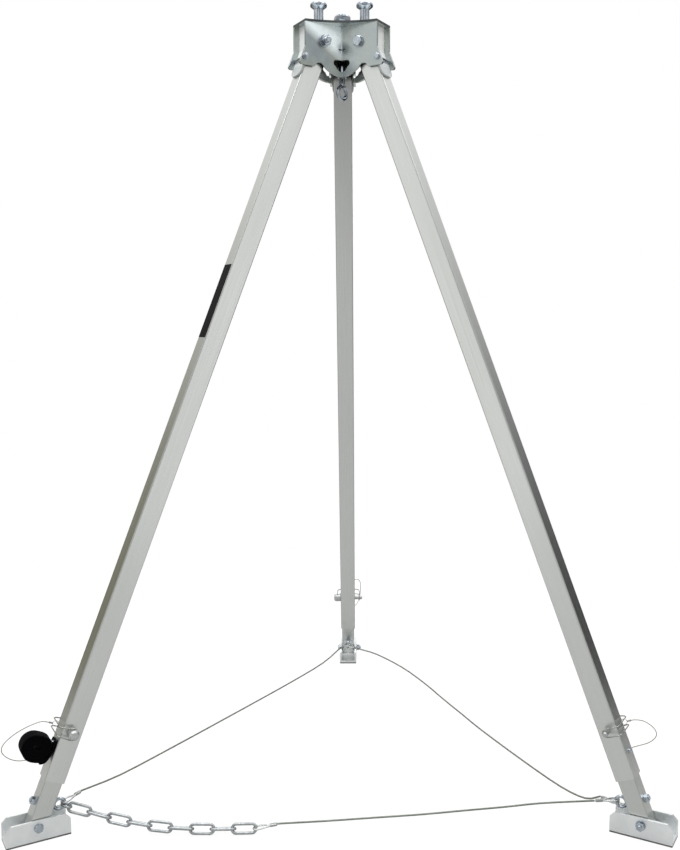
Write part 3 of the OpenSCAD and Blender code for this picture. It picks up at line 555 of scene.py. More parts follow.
def lanyard_line(leg):
    drop, lift, side = RIVETS[leg]
    first = Vector((CRIMP_U + CRIMP_HALF, 0, RING_Z))
    last = Vector((TUBE_HALF + lift + RIVET_RISE, side * RIVET_SIDE, -drop))
    points = [first, first + Vector((CRIMP_LEAD, 0, 0)), *map(Vector, LANYARDS[leg]),
              last + Vector((0, side * CRIMP_LEAD, 0)), last]
    place = leg_matrix(leg) @ moved(z=PIN_Z)
    return [place @ (p * MM) for p in points]


lanyard_pieces = {}
for leg in LEGS:
    points = lanyard_line(leg)
    path = smooth_line(points, 3)
    cable = lay_rings(leg + "_coated_cable", even_line(path, LANYARD_STEP * MM),
                      strands(LANYARD_D * MM, points=2), LANYARD_LAY * MM)
    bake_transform(cable)
    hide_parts(leg + "_lanyard")
    lanyard_pieces[leg] = cable
    print(cable.name, round(line_length(path), 3), "m")

# %% [markdown]
# The bail is one springy wire. It runs from the pin's head round the outer face of the
# tube and hooks over the pin's tip. A smooth line through the same points as the solid
# gives the wire its real bends, and a key ring of two turns hangs on it.

# %% Wire bails and key rings
BAIL_WIRE, BAIL_STEP, PIN_D = 3.0, 1.8, 12.7
RING_U, RING_R, RING_WIRE = 39.2, 7.0, 1.1
CRIMP_R, CRIMP_PINCH = 2.2, 0.72


def bail_points():
    head_v, tip_v, reach_u, gap = 37.7, -42.14, 36.0, 10.5
    clear = PIN_D / 2 + BAIL_WIRE / 2 + 0.5
    half = [(0, head_v, 14.6), (10, head_v, 13.9), (reach_u - 8, head_v - 1, 11.5),
            (reach_u - 2, head_v - 6, gap), (reach_u, head_v - 14, gap), (reach_u, tip_v + 14, gap),
            (reach_u - 2, tip_v + 6, gap), (reach_u - 8, tip_v + 1, gap), (10, tip_v, gap),
            (0, tip_v, clear + 0.6), (-clear * 0.75, tip_v, clear * 0.72)]
    return half + [(-clear, tip_v, 0)] + [(u, v, -z) for u, v, z in half[::-1]]


def ring_turns(steps=48):
    """Two close turns of a key ring, the second beside the first."""
    points = []
    for k in range(steps + 1):
        t = 4 * math.pi * k / steps
        points.append((RING_U + RING_R * math.cos(t), RING_WIRE * (k / steps - 0.5),
                       RING_Z + RING_R * math.sin(t)))
    return points


def crimp_sleeve(name):
    crimp = round_bar(name, CRIMP_R, CRIMP_U - CRIMP_HALF, CRIMP_U + CRIMP_HALF, 20, RING_Z)
    cut_across([CRIMP_U + step for step in (-2.6, -1.2, 1.2, 2.6)])
    for vertex in crimp.data.vertices:
        if abs(vertex.co.x / MM - CRIMP_U) < 1.5:
            vertex.co.y *= CRIMP_PINCH
    soft_edges(crimp, 0.35, 40)
    return crimp


bail_pieces = {}
for leg in LEGS:
    bends = even_line(smooth_line(in_metres(bail_points()), 5), BAIL_STEP * MM)
    bow = lay_rings(leg + "_bail_wire", bends, wire(BAIL_WIRE * MM))
    ring = lay_rings(leg + "_key_ring", smooth_line(in_metres(ring_turns()), 1), wire(RING_WIRE * MM, 8))
    bail = join_pieces(leg + "_bail_and_ring", [bow, ring, crimp_sleeve(leg + "_bail_crimp")])
    bail.data.transform(leg_matrix(leg) @ moved(z=PIN_Z))
    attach(bail, "pin_" + leg)
    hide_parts(leg + "_bail")
    bail_pieces[leg] = bail
print("bails:", list(bail_pieces))

# %% [markdown]
# The bolts are ordinary hexagon bolts. On a real bolt the corners are turned off by a
# cone, which leaves a curved edge on each flat. Cutting a six-sided cylinder with a
# cone by a Boolean gives exactly that edge. The thread is a small V that the Screw
# modifier winds up the shank.

# %% Hexagons and threads
CORNER_CUT, CORNER_SLOPE = 0.475, 1.9
WASHER_EDGE, HEAD_WASHER = 0.4, 1.4


def chamfered_hexagon(name, across, height, both):
    """A hexagon standing on z = 0, its corners turned off at the top, or at both ends."""
    bpy.ops.object.select_all(action="DESELECT")
    corner = across / 2 / math.cos(math.radians(30))
    bpy.ops.mesh.primitive_cylinder_add(vertices=6, radius=corner * MM, depth=height * MM,
                                        location=(0, 0, height / 2 * MM))
    blank = bpy.context.object
    blank.name = name
    bpy.ops.object.transform_apply(location=True)
    for end in ((1, -1) if both else (1,)):
        bpy.ops.mesh.primitive_cone_add(
            vertices=72, depth=height * MM, location=(0, 0, height / 2 * MM),
            radius1=(across * CORNER_CUT + (CORNER_SLOPE * height if end > 0 else 0)) * MM,
            radius2=(across * CORNER_CUT + (CORNER_SLOPE * height if end < 0 else 0)) * MM)
        cone = bpy.context.object
        cut = blank.modifiers.new("turned corners", "BOOLEAN")
        cut.operation = "INTERSECT"
        cut.solver = "EXACT"
        cut.object = cone
        apply_all(blank)
        bpy.data.objects.remove(cone)
    bpy.ops.object.select_all(action="DESELECT")
    blank.select_set(True)
    bpy.context.view_layer.objects.active = blank
    smooth_below(25)
    return blank


def threaded_rod(name, diameter, low, high, pitch):
    """A wound thread from low to high on z, with a core that closes its end."""
    depth = 0.55 * pitch
    r = diameter / 2 - 0.05
    root, crest = r - depth, r - 0.1 * pitch
    turns = max(1, int((high - low - pitch) / pitch))
    profile = [(root, 0), (crest, 0.42 * pitch), (crest, 0.58 * pitch), (root, pitch)]
    points = [(x * MM, 0, (low + z) * MM) for x, z in profile]
    rod = mesh_piece(name, points, [], [(0, 1), (1, 2), (2, 3)])
    screw = rod.modifiers.new("thread", "SCREW")
    screw.screw_offset = pitch * MM
    screw.iterations = turns
    screw.steps = screw.render_steps = 32
    screw.use_merge_vertices = True
    apply_all(rod)
    bpy.ops.mesh.primitive_cylinder_add(
        vertices=32, radius=(r - depth * 0.9) * MM, depth=(high - low) * MM,
        location=(0, 0, (low + high) / 2 * MM))
    core = bpy.context.object
    bpy.ops.object.transform_apply(location=True)
    bpy.ops.object.mode_set(mode="EDIT")
    bpy.ops.mesh.select_all(action="SELECT")
    bpy.ops.mesh.bevel(offset=0.3 * pitch * MM, segments=2)
    bpy.ops.object.mode_set(mode="OBJECT")
    rod = join_pieces(name, [rod, core])
    face_outwards(30)
    return rod


def turned(name, rings, sides=48):
    """A turned piece from (radius, z) steps: a disc that is extruded ring by ring."""
    bpy.ops.object.select_all(action="DESELECT")
    bpy.ops.mesh.primitive_circle_add(vertices=sides, radius=rings[0][0] * MM, fill_type="NGON",
                                      location=(0, 0, rings[0][1] * MM))
    piece = bpy.context.object
    piece.name = name
    bpy.ops.object.transform_apply(location=True)
    bpy.ops.object.mode_set(mode="EDIT")
    bpy.ops.mesh.select_all(action="SELECT")
    for (r0, z0), (r1, z1) in zip(rings, rings[1:]):
        bpy.ops.mesh.extrude_region_move(TRANSFORM_OT_translate={"value": (0, 0, (z1 - z0) * MM)})
        bpy.ops.transform.resize(value=(r1 / r0, r1 / r0, 1), center_override=(0, 0, z1 * MM))
    face_outwards(25)
    return piece


def washer(name, outer, z, t):
    r, e = outer / 2, WASHER_EDGE
    return turned(name, [(r - e, z), (r, z + e), (r, z + t - e), (r - e, z + t)])


def hexagon_bolt(name, d, across, head_h, nut_h, washer_h, stub, half, pitch):
    """Along z: head below -half, washer and nut above half, thread through the nut."""
    head = chamfered_hexagon(name + "_head", across, head_h, both=False)
    head.data.transform(moved(z=-half) @ turned_by(180, "X"))
    nut = chamfered_hexagon(name + "_nut", across, nut_h, both=True)
    nut.data.transform(moved(z=half + washer_h))
    shank = turned(name + "_shank", [(d / 2 - 0.1, -half), (d / 2 - 0.1, half + washer_h)])
    nut_z = half + washer_h
    end = threaded_rod(name + "_thread", d, nut_z + 1, nut_z + nut_h + stub, pitch)
    flats = [washer(name + "_washer", across * 1.3, half, washer_h),
             washer(name + "_head_washer", across * 1.22, -half - HEAD_WASHER, HEAD_WASHER)]
    return join_pieces(name, [head, nut, shank, end] + flats)


bolt_patterns = {
    "pivot": hexagon_bolt("pivot_bolt", d=16, across=24, head_h=10, nut_h=13, washer_h=3,
                          stub=9, half=36.0, pitch=2.0),
    "stop": hexagon_bolt("stop_bolt", d=8, across=13, head_h=5.5, nut_h=6.5, washer_h=1.6,
                         stub=4, half=36.0, pitch=1.25),
    "foot": hexagon_bolt("foot_bolt", d=12, across=19, head_h=8, nut_h=10, washer_h=2,
                         stub=5, half=30.0, pitch=1.75),
}
print({k: len(v.data.polygons) for k, v in bolt_patterns.items()})

# %% [markdown]
# Each pattern is copied to its places, and each copy has its own mesh. A bolt lies
# across its leg, so the pattern's z axis is turned on to the leg's sideways axis. The
# foot bolts turn with the feet, and all the others stay with the head.

# %% Bolts in their places
def copy_at(pattern, name, place):
    copy = bpy.data.objects.new(name, pattern.data.copy())
    copy.data.name = name
    bpy.context.scene.collection.objects.link(copy)
    copy.data.transform(place)
    return copy


STOP_GAP, STOP_PLATE, STOP_BOLT_R, STOP_DROP = 0.3, 5.0, 4.0, 45.0
STOP_R = PIVOT_R + (TUBE_HALF + STOP_GAP + STOP_PLATE + STOP_BOLT_R + STOP_DROP * LEAN) / RISE
SPACER = [(10.1, 22.1), (10.5, 22.5), (10.5, 23.6), (10.1, 24)]


def foot_matrix(leg):
    """Axes on the floor under a foot bolt, X outwards."""
    return moved(y=AXIS_Y) @ turned_by(LEGS[leg], "Z") @ moved(x=FOOT_R)


bolt_sets = {"pivot_bolts": [], "stop_bolts": []}
for leg, azimuth in LEGS.items():
    for kind, r, z, roll in (("pivot", PIVOT_R, 0, 12), ("stop", STOP_R, -STOP_DROP, 41)):
        place = (head_matrix(azimuth) @ moved(x=r, z=z)
                 @ turned_by(-90, "X") @ turned_by(roll + azimuth, "Z"))
        bolt_sets[kind + "_bolts"].append(copy_at(bolt_patterns[kind], f"{leg}_{kind}_bolt", place))
    place = foot_matrix(leg) @ moved(z=FOOT_BOLT_Z) @ turned_by(90, "X") @ turned_by(17, "Z")
    bolt = copy_at(bolt_patterns["foot"], leg + "_foot_hex_bolt", place)
    spacers = []
    for half_turn in (180, 0):
        collar = turned("spacer", SPACER)
        collar.data.transform(place @ turned_by(half_turn, "X"))
        spacers.append(collar)
    bolt = join_pieces(leg + "_foot_hex_bolt", [bolt] + spacers)
    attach(bolt, "foot_" + leg)
    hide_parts(leg + "_foot_bolt")
    bolt_sets[leg + "_foot"] = [bolt]
for node in ("pivot_bolts", "stop_bolts"):
    joined = join_pieces("hex_" + node, bolt_sets[node])
    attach(joined, "head")
    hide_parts(node)
    bolt_sets[node] = [joined]
for pattern in bolt_patterns.values():
    bpy.data.objects.remove(pattern)
print("bolt sets:", list(bolt_sets))

# %% [markdown]
# The hoist eye bolt hangs through the top plate on a thick nut and a lock nut. The
# same hexagon and thread helpers make them, only larger.

# %% Hoist nuts
PLATE_TOP, HOIST_D, HOIST_PITCH = 49.0, 24.6, 3.0
HOIST_WASHER, HOIST_WASHER_D = 4.0, 48.0
HOIST_NUT, HOIST_LOCK, HOIST_ACROSS = 18.0, 10.0, 38.0
HOIST_END = [(12.1, 82), (12.1, 84.8), (11.4, 86.2), (9, 87.6), (5, 88.5), (0.5, 88.8)]
nut_z = PLATE_TOP + HOIST_WASHER
lock_z = nut_z + HOIST_NUT
low_nut = chamfered_hexagon("low_nut", HOIST_ACROSS, HOIST_NUT, both=True)
low_nut.data.transform(moved(z=nut_z))
lock_nut = chamfered_hexagon("lock_nut", HOIST_ACROSS, HOIST_LOCK, both=True)
lock_nut.data.transform(moved(z=lock_z) @ turned_by(18, "Z"))
hoist_thread = threaded_rod("hoist_thread", HOIST_D, lock_z + 5, lock_z + 13, HOIST_PITCH)
hoist_end = turned("hoist_end", HOIST_END)
hoist_washer = washer("hoist_washer", HOIST_WASHER_D, PLATE_TOP, HOIST_WASHER)
hoist_nuts = join_pieces("hoist_hex_nuts", [low_nut, lock_nut, hoist_washer, hoist_thread, hoist_end])
hoist_nuts.data.transform(head_matrix(0))
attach(hoist_nuts, "head")
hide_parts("hoist_nuts")
print(hoist_nuts.name, len(hoist_nuts.data.polygons), "faces")

# %% [markdown]
# The plungers are turned from bar. Their knobs are mushrooms with a short cone under a
# thick rounded rim, which a finger can hook. The rod's nose seats in the leg's cap.

# %% Plungers
PLUNGER_R = 70.0
PLUNGER = [(1.5, 28), (7, 36), (7, 49.6), (9.7, 49.6), (9.7, 54.6), (7, 54.6), (7, 88.3),
           (12.4, 88.3), (13.4, 88.9), (19.6, 93.4), (21.3, 94.8), (22.2, 96.8), (22.2, 101.4),
           (21.5, 103.3), (20.0, 104.9), (16, 106.9), (10, 108.4), (4, 109.1), (0.5, 109.2)]
plungers = {}
for leg, azimuth in LEGS.items():
    plunger = turned(leg + "_turned_plunger", PLUNGER)
    plunger.data.transform(head_matrix(azimuth) @ moved(x=PLUNGER_R))
    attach(plunger, "plunger_" + leg)
    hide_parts(leg + "_plunger")
    plungers[leg] = plunger
print("plungers:", list(plungers))

# %% [markdown]
# A compression spring in each barrel pushes the plunger's nose into the leg. It is a
# small circle that the Screw modifier winds up, and it stays with the head.

# %% Plunger springs
SPRING_R, SPRING_WIRE, SPRING_TURNS = 8.9, 1.6, 4
SPRING_LOW, SPRING_HIGH, BARREL_LID = 55.6, 83.0, 84.0


def wound_spring(name, radius, wire_d, low, high, turns):
    bpy.ops.object.select_all(action="DESELECT")
    bpy.ops.mesh.primitive_circle_add(
        vertices=10, radius=wire_d / 2 * MM, fill_type="NOTHING",
        location=(radius * MM, 0, low * MM), rotation=(math.pi / 2, 0, 0))
    spring = bpy.context.object
    spring.name = name
    bpy.ops.object.transform_apply(location=True, rotation=True)
    screw = spring.modifiers.new("winding", "SCREW")
    screw.screw_offset = (high - low) / turns * MM
    screw.iterations = turns
    screw.steps = screw.render_steps = 24
    apply_all(spring)
    bpy.ops.object.mode_set(mode="EDIT")
    bpy.ops.mesh.select_all(action="DESELECT")
    bpy.ops.mesh.select_mode(type="EDGE")
    bpy.ops.mesh.select_non_manifold()
    bpy.ops.mesh.edge_face_add()
    face_outwards(50)
    return spring


coils = []
for azimuth in LEGS.values():
    coil = wound_spring("coil", SPRING_R, SPRING_WIRE, SPRING_LOW, SPRING_HIGH, SPRING_TURNS)
    coil.data.transform(head_matrix(azimuth) @ moved(x=PLUNGER_R))
    coils.append(coil)
plunger_coils = join_pieces("plunger_coils", coils)
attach(plunger_coils, "head")
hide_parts("plunger_springs")
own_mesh(plunger_coils)
print("spring faces:", len(plunger_coils.data.polygons))

# %% [markdown]
# A black webbing strap is rolled up on the left leg and held by the lanyard's rivet.
# The strap was folded double and then rolled, so two layers wind side by side. Each
# layer is a ribbon along a slightly lumpy spiral, a little thicker than the cloth so
# that the roll is closed. Its UV map has one unit for one metre along the strap, so the
# weave follows the cloth round every bend.

# %% Rolled strap
STRAP_W, STRAP_T, LAYER, LAYER_STEP = 38.0, 3.4, 4.3, 4.25
ROLL_U, ROLL_Z, ROLL_HALF_U, ROLL_HALF_Z = 66.45, -52.0, 41.0, 37.0
ROLL_STEP, ROLL_SQUARE, ROLL_PARTS = 8.5, 0.86, 40
OUTER_PARTS, INNER_PARTS, INNER_START = 140, 117, 0.12
LUMPS, LUMPS_FROM, DEEPEST_LUMP = ((0.7, 3, 0.6), (0.45, 5, 2.0)), 0.2, -0.9
TUCK = 0.6
ON_TUBE = (-30, -33, -36, -40, -44, -48)
LOOSE_END = [(49, -88.4), (43, -87), (36.5, -82), (32, -73), (30.7, -63), (30.6, -55)]


def roll_point(turn, inset):
    """A point of the roll: turns from the tube's face, inset towards its middle."""
    t = 2 * math.pi * turn
    lump = sum(size * math.sin(count * t + phase) for size, count, phase in LUMPS)
    if turn < LUMPS_FROM:
        lump *= turn / LUMPS_FROM
    shrink = ROLL_STEP * turn + inset + max(lump, DEEPEST_LUMP)
    c, s = (math.copysign(abs(x) ** ROLL_SQUARE, x) for x in (math.cos(t), math.sin(t)))
    return ROLL_U - (ROLL_HALF_U - shrink) * c, ROLL_Z - (ROLL_HALF_Z - shrink) * s


def ribbon(name, line, width, thickness):
    """A flat strap along (u, z) points with rounded edges and a UV map, and its length."""
    edge = [(0.5, 0.0), (0.49, 0.32), (0.45, 0.5)]
    across = [(-v, n) for v, n in edge] + [(-0.22, 0.5), (0, 0.5), (0.22, 0.5)]
    across += edge[::-1] + [(v, -n) for v, n in edge[1:]] + [(0, -0.5)]
    across += [(-v, -n) for v, n in edge[:0:-1]]
    verts, walked, lengths = [], 0.0, []
    for k, (u, z) in enumerate(line):
        a, b = line[max(k - 1, 0)], line[min(k + 1, len(line) - 1)]
        along = Vector((b[0] - a[0], 0, b[1] - a[1])).normalized()
        normal = Vector((along.z, 0, -along.x))
        walked += math.dist(line[k], line[k - 1]) if k else 0.0
        lengths.append(walked)
        for v, n in across:
            verts.append((Vector((u, v * width, z)) + normal * n * thickness) * MM)
    piece = mesh_piece(name, verts, tube_faces(len(across), len(line)))
    weave = piece.data.uv_layers.new(name="weave")
    for corner in piece.data.loops:
        ring, point = divmod(corner.vertex_index, len(across))
        weave.data[corner.index].uv = (lengths[ring] * MM, across[point][0] * width * MM)
    face_outwards(60)
    return piece, walked


face_u = TUBE_HALF + 0.05 + STRAP_T / 2
outer = [(face_u, z) for z in ON_TUBE]
outer += [roll_point(k / ROLL_PARTS, STRAP_T / 2) for k in range(OUTER_PARTS + 1)]
inner = [roll_point(INNER_START + k / ROLL_PARTS, STRAP_T / 2 + LAYER_STEP)
         for k in range(INNER_PARTS + 1)]
loose = smooth_line([Vector((u, 0, z)) for u, z in LOOSE_END], 5)
outer_layer, outer_l = ribbon("strap_outer_layer", outer, STRAP_W, LAYER)
inner_layer, inner_l = ribbon("strap_inner_layer", inner, STRAP_W - 2 * TUCK, LAYER)
loose_end, loose_l = ribbon("strap_loose_end", [(p.x, p.z) for p in loose], STRAP_W - TUCK, STRAP_T)
strap = join_pieces("rolled_webbing", [outer_layer, inner_layer, loose_end])
strap.data.transform(leg_matrix("left") @ moved(z=PIN_Z))
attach(strap, "leg_left")
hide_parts("leg_strap")

# %% [markdown]
# The rubber sole under each foot has cross ribs that grip wet ground. It starts as a
# block that is cut into strips from end to end, and every second strip on the
# underside is pushed up to make a groove.

# %% Ribbed soles
SOLE_T, SOLE_EDGE = 4.0, 0.25
STRIP, GROOVE, GROOVE_INSET = 4.0, 1.6, 0.35


def ribbed_sole(name):
    bpy.ops.object.select_all(action="DESELECT")
    bpy.ops.mesh.primitive_cube_add(size=1, location=(0, 0, SOLE_T / 2 * MM))
    sole = bpy.context.object
    sole.name = name
    sole.scale = (FOOT_L * MM, FOOT_W * MM, SOLE_T * MM)
    bpy.ops.object.transform_apply(location=True, rotation=True, scale=True)
    last = round(FOOT_L / STRIP) - 1
    cut_across([STRIP * k - FOOT_L / 2 for k in range(1, last + 1)])
    for polygon in sole.data.polygons:
        strip = math.floor((polygon.center.x / MM + FOOT_L / 2) / STRIP)
        polygon.select = polygon.normal.z < -0.9 and strip % 2 == 1 and 0 < strip < last
    bpy.ops.object.mode_set(mode="EDIT")
    bpy.ops.mesh.select_mode(type="FACE")
    bpy.ops.mesh.inset(thickness=GROOVE_INSET * MM, use_individual=True)
    bpy.ops.mesh.extrude_faces_move(TRANSFORM_OT_shrink_fatten={"value": -GROOVE * MM})
    bpy.ops.mesh.select_all(action="DESELECT")
    bpy.ops.object.mode_set(mode="OBJECT")
    soft_edges(sole, SOLE_EDGE, 35)
    return sole


sole_pattern = ribbed_sole("sole_pattern")
sole_pieces = []
for leg in LEGS:
    sole = copy_at(sole_pattern, leg + "_ribbed_sole", foot_matrix(leg))
    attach(sole, "foot_" + leg)
    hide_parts(leg + "_foot_sole")
    sole_pieces.append(sole)
bpy.data.objects.remove(sole_pattern)
print("soles:", len(sole_pieces), "faces each:", len(sole_pieces[0].data.polygons))

# %% [markdown]
# Metal gets its look from small differences. Each finish below mixes two or three close
# tints with noise, lets the roughness wander, and adds a fine bump for the grain. The
# helpers keep those steps short. Patterns read Object coordinates, which are metres in
# the frame, so a scale of 100 gives marks about a centimetre across.

# %% Helpers for finishes
def new_finish(name, metallic, roughness):
    material = bpy.data.materials.new(name)
    material.use_nodes = True
    shader = material.node_tree.nodes["Principled BSDF"]
    shader.inputs["Metallic"].default_value = metallic
    shader.inputs["Roughness"].default_value = roughness
    return material, material.node_tree, shader


def plug(tree, value, socket):
    """Link an output to a socket, or write a plain value into it."""
    if isinstance(value, bpy.types.NodeSocket):
        tree.links.new(value, socket)
    else:
        socket.default_value = value


def maths(tree, operation, *values):
    node = tree.nodes.new("ShaderNodeMath")
    node.operation = operation
    for value, socket in zip(values, node.inputs):
        plug(tree, value, socket)
    return node.outputs["Value"]


def vector_maths(tree, operation, *values):
    """What a Vector Math node gives: a number for a dot product or a length, or a vector."""
    node = tree.nodes.new("ShaderNodeVectorMath")
    node.operation = operation
    for value, socket in zip(values, node.inputs):
        plug(tree, value, socket)
    return node.outputs["Value" if operation in ("DOT_PRODUCT", "LENGTH") else "Vector"]


def axes_of(tree, vector):
    """The X, Y and Z outputs of a vector."""
    node = tree.nodes.new("ShaderNodeSeparateXYZ")
    tree.links.new(vector, node.inputs["Vector"])
    return node.outputs


def facing(tree):
    """The way a surface faces, in Object coordinates."""
    return tree.nodes.new("ShaderNodeTexCoord").outputs["Normal"]


def surface_place(tree, turn=(0, 0, 0), stretch=(1, 1, 1)):
    """Object coordinates, turned first and then stretched."""
    place = tree.nodes.new("ShaderNodeTexCoord").outputs["Object"]
    for rotation, scale in ((turn, (1, 1, 1)), ((0, 0, 0), stretch)):
        mapping = tree.nodes.new("ShaderNodeMapping")
        mapping.inputs["Rotation"].default_value = rotation
        mapping.inputs["Scale"].default_value = scale
        tree.links.new(place, mapping.inputs["Vector"])
        place = mapping.outputs["Vector"]
    return place


def noise(tree, place, scale, detail=3.0, rough=0.5):
    node = tree.nodes.new("ShaderNodeTexNoise")
    node.inputs["Scale"].default_value = scale
    node.inputs["Detail"].default_value = detail
    node.inputs["Roughness"].default_value = rough
    tree.links.new(place, node.inputs["Vector"])
    return node.outputs["Fac"]


def tints(tree, factor, stops):
    """A colour ramp from (position, colour) stops."""
    ramp = tree.nodes.new("ShaderNodeValToRGB")
    while len(ramp.color_ramp.elements) < len(stops):
        ramp.color_ramp.elements.new(0.5)
    for element, (position, colour) in zip(ramp.color_ramp.elements, stops):
        element.position = position
        element.color = (*colour, 1)
    tree.links.new(factor, ramp.inputs["Fac"])
    return ramp.outputs["Color"]


def levels(tree, factor, low, high, start=0.3, end=0.7):
    """Stretch a grey pattern to the range from low to high."""
    node = tree.nodes.new("ShaderNodeMapRange")
    for key, value in (("From Min", start), ("From Max", end), ("To Min", low), ("To Max", high)):
        node.inputs[key].default_value = value
    tree.links.new(factor, node.inputs["Value"])
    return node.outputs["Result"]


def blended(tree, factor, first, second):
    """Mix two colours, each a plain one or another node's output."""
    node = tree.nodes.new("ShaderNodeMix")
    node.data_type = "RGBA"
    tree.links.new(factor, node.inputs["Factor"])
    for socket, colour in ((node.inputs[6], first), (node.inputs[7], second)):
        plug(tree, (*colour, 1) if isinstance(colour, tuple) else colour, socket)
    return node.outputs[2]


def scaled(colour, factor):
    return tuple(factor * c for c in colour)


def paint(tree, shader, colour, roughness):
    tree.links.new(colour, shader.inputs["Base Color"])
    tree.links.new(roughness, shader.inputs["Roughness"])


def grain(tree, shader, height, distance, strength=0.5, under=None):
    bump = tree.nodes.new("ShaderNodeBump")
    bump.inputs["Strength"].default_value = strength
    bump.inputs["Distance"].default_value = distance
    tree.links.new(height, bump.inputs["Height"])
    if under is not None:
        tree.links.new(under, bump.inputs["Normal"])
    tree.links.new(bump.outputs["Normal"], shader.inputs["Normal"])


def round_edges(tree, radius):
    """A Bevel node rounds sharp sheet edges in the shading, and marks where they are."""
    bevel = tree.nodes.new("ShaderNodeBevel")
    bevel.inputs["Radius"].default_value = radius
    flat = tree.nodes.new("ShaderNodeNewGeometry").outputs["Normal"]
    rounded = bevel.outputs["Normal"]
    alike = vector_maths(tree, "DOT_PRODUCT", rounded, flat)
    return rounded, levels(tree, alike, 1.0, 0.0, 0.75, 0.99)


def coat(material, *pieces):
    """Give each piece this one finish."""
    for piece in pieces:
        piece.data.materials.clear()
        piece.data.materials.append(material)


print("finish helpers ready")

# %% [markdown]
# The legs are extruded aluminium with a satin skin. An extrusion die leaves fine lines
# along the tube, so the noise is turned into the leg's own axes and stretched along it.
# The rounded corners carry a painted dark line, which is painted shade, and the end inside
# the head is painted near black, a painted shade where the head covers it.
# Each leg leans another way, which is why each gets its own copy of the finish.

# %% Satin aluminium for the legs
HEAD_SHADE = (0.025, 0.025, 0.024)
HEAD_SHADE_STARTS, HEAD_SHADE_FULL = 64.0, 50.0


def satin_aluminium(leg, name, light, dark):
    material, tree, shader = new_finish(f"{name}_{leg}", 1.0, 0.4)
    axes = leg_matrix(leg).to_3x3()
    out_leg, across_leg, up_leg = axes.col
    turn = axes.inverted().to_euler()
    lines = noise(tree, surface_place(tree, turn, (900, 900, 3)), 1.0, 4.0, 0.6)
    clouds = noise(tree, surface_place(tree, turn, (9, 9, 1.6)), 1.0, 3.0)
    colour = tints(tree, clouds, [(0.3, dark), (0.7, light)])
    colour = blended(tree, levels(tree, lines, 0.0, 0.22), colour, scaled(dark, 0.86))
    flat = [maths(tree, "ABSOLUTE", vector_maths(tree, "DOT_PRODUCT", facing(tree), axis))
            for axis in (out_leg, across_leg)]
    # Painted shade: a dark line painted along the tube's rounded corners.
    corner = levels(tree, maths(tree, "MAXIMUM", *flat), 0.4, 0.0, 0.86, 0.995)
    colour = blended(tree, corner, colour, scaled(dark, 0.36))
    # Painted shade: each tube's end inside the head turns near black, from 64 to 50 mm below the pivot.
    pivot = up_leg.dot(leg_matrix(leg).translation)
    along = vector_maths(tree, "DOT_PRODUCT", surface_place(tree), up_leg)
    painted_head_shade = levels(tree, along, 0.0, 1.0, pivot - HEAD_SHADE_STARTS * MM, pivot - HEAD_SHADE_FULL * MM)
    colour = blended(tree, painted_head_shade, colour, HEAD_SHADE)
    paint(tree, shader, colour, levels(tree, lines, 0.26, 0.37))
    grain(tree, shader, lines, 0.00012, 0.5)
    return material


for leg in LEGS:
    tube_skin = satin_aluminium(leg, "satin_aluminium", (0.655, 0.67, 0.655), (0.595, 0.61, 0.592))
    lower_skin = satin_aluminium(leg, "drawn_aluminium", (0.61, 0.625, 0.605), (0.54, 0.555, 0.535))
    coat(tube_skin, nodes[leg + "_upper_tube"])
    coat(lower_skin, nodes[leg + "_lower_tube"], nodes[leg + "_leg_cap"])
print("leg finishes:", [m.name for m in bpy.data.materials if "aluminium" in m.name])

# %% [markdown]
# The head is steel sheet with a zinc coat. Zinc shows faint blue, green and straw
# clouds where the coat is thicker or thinner, and a fine rolling grain. The sharp edges
# get a painted edge tone, which is painted light: lighter than the face on the front and
# side plates, darker on the top and stop plates.

# %% Zinc-plated sheet
PAINTED_HIGHLIGHT_ABOVE, PAINTED_HIGHLIGHT_LEFT = (1.925, 1.955), (-0.004, 0.004)
INNER_SHADE, INNER_SHADE_FACING, INNER_SHADE_REACH = (0.02, 0.021, 0.02), (-0.012, -0.004), (0.075, 0.095)
INNER_SHADE_ABOVE, DARKER_BELOW = (1.912, 1.926), (1.912, 1.932)


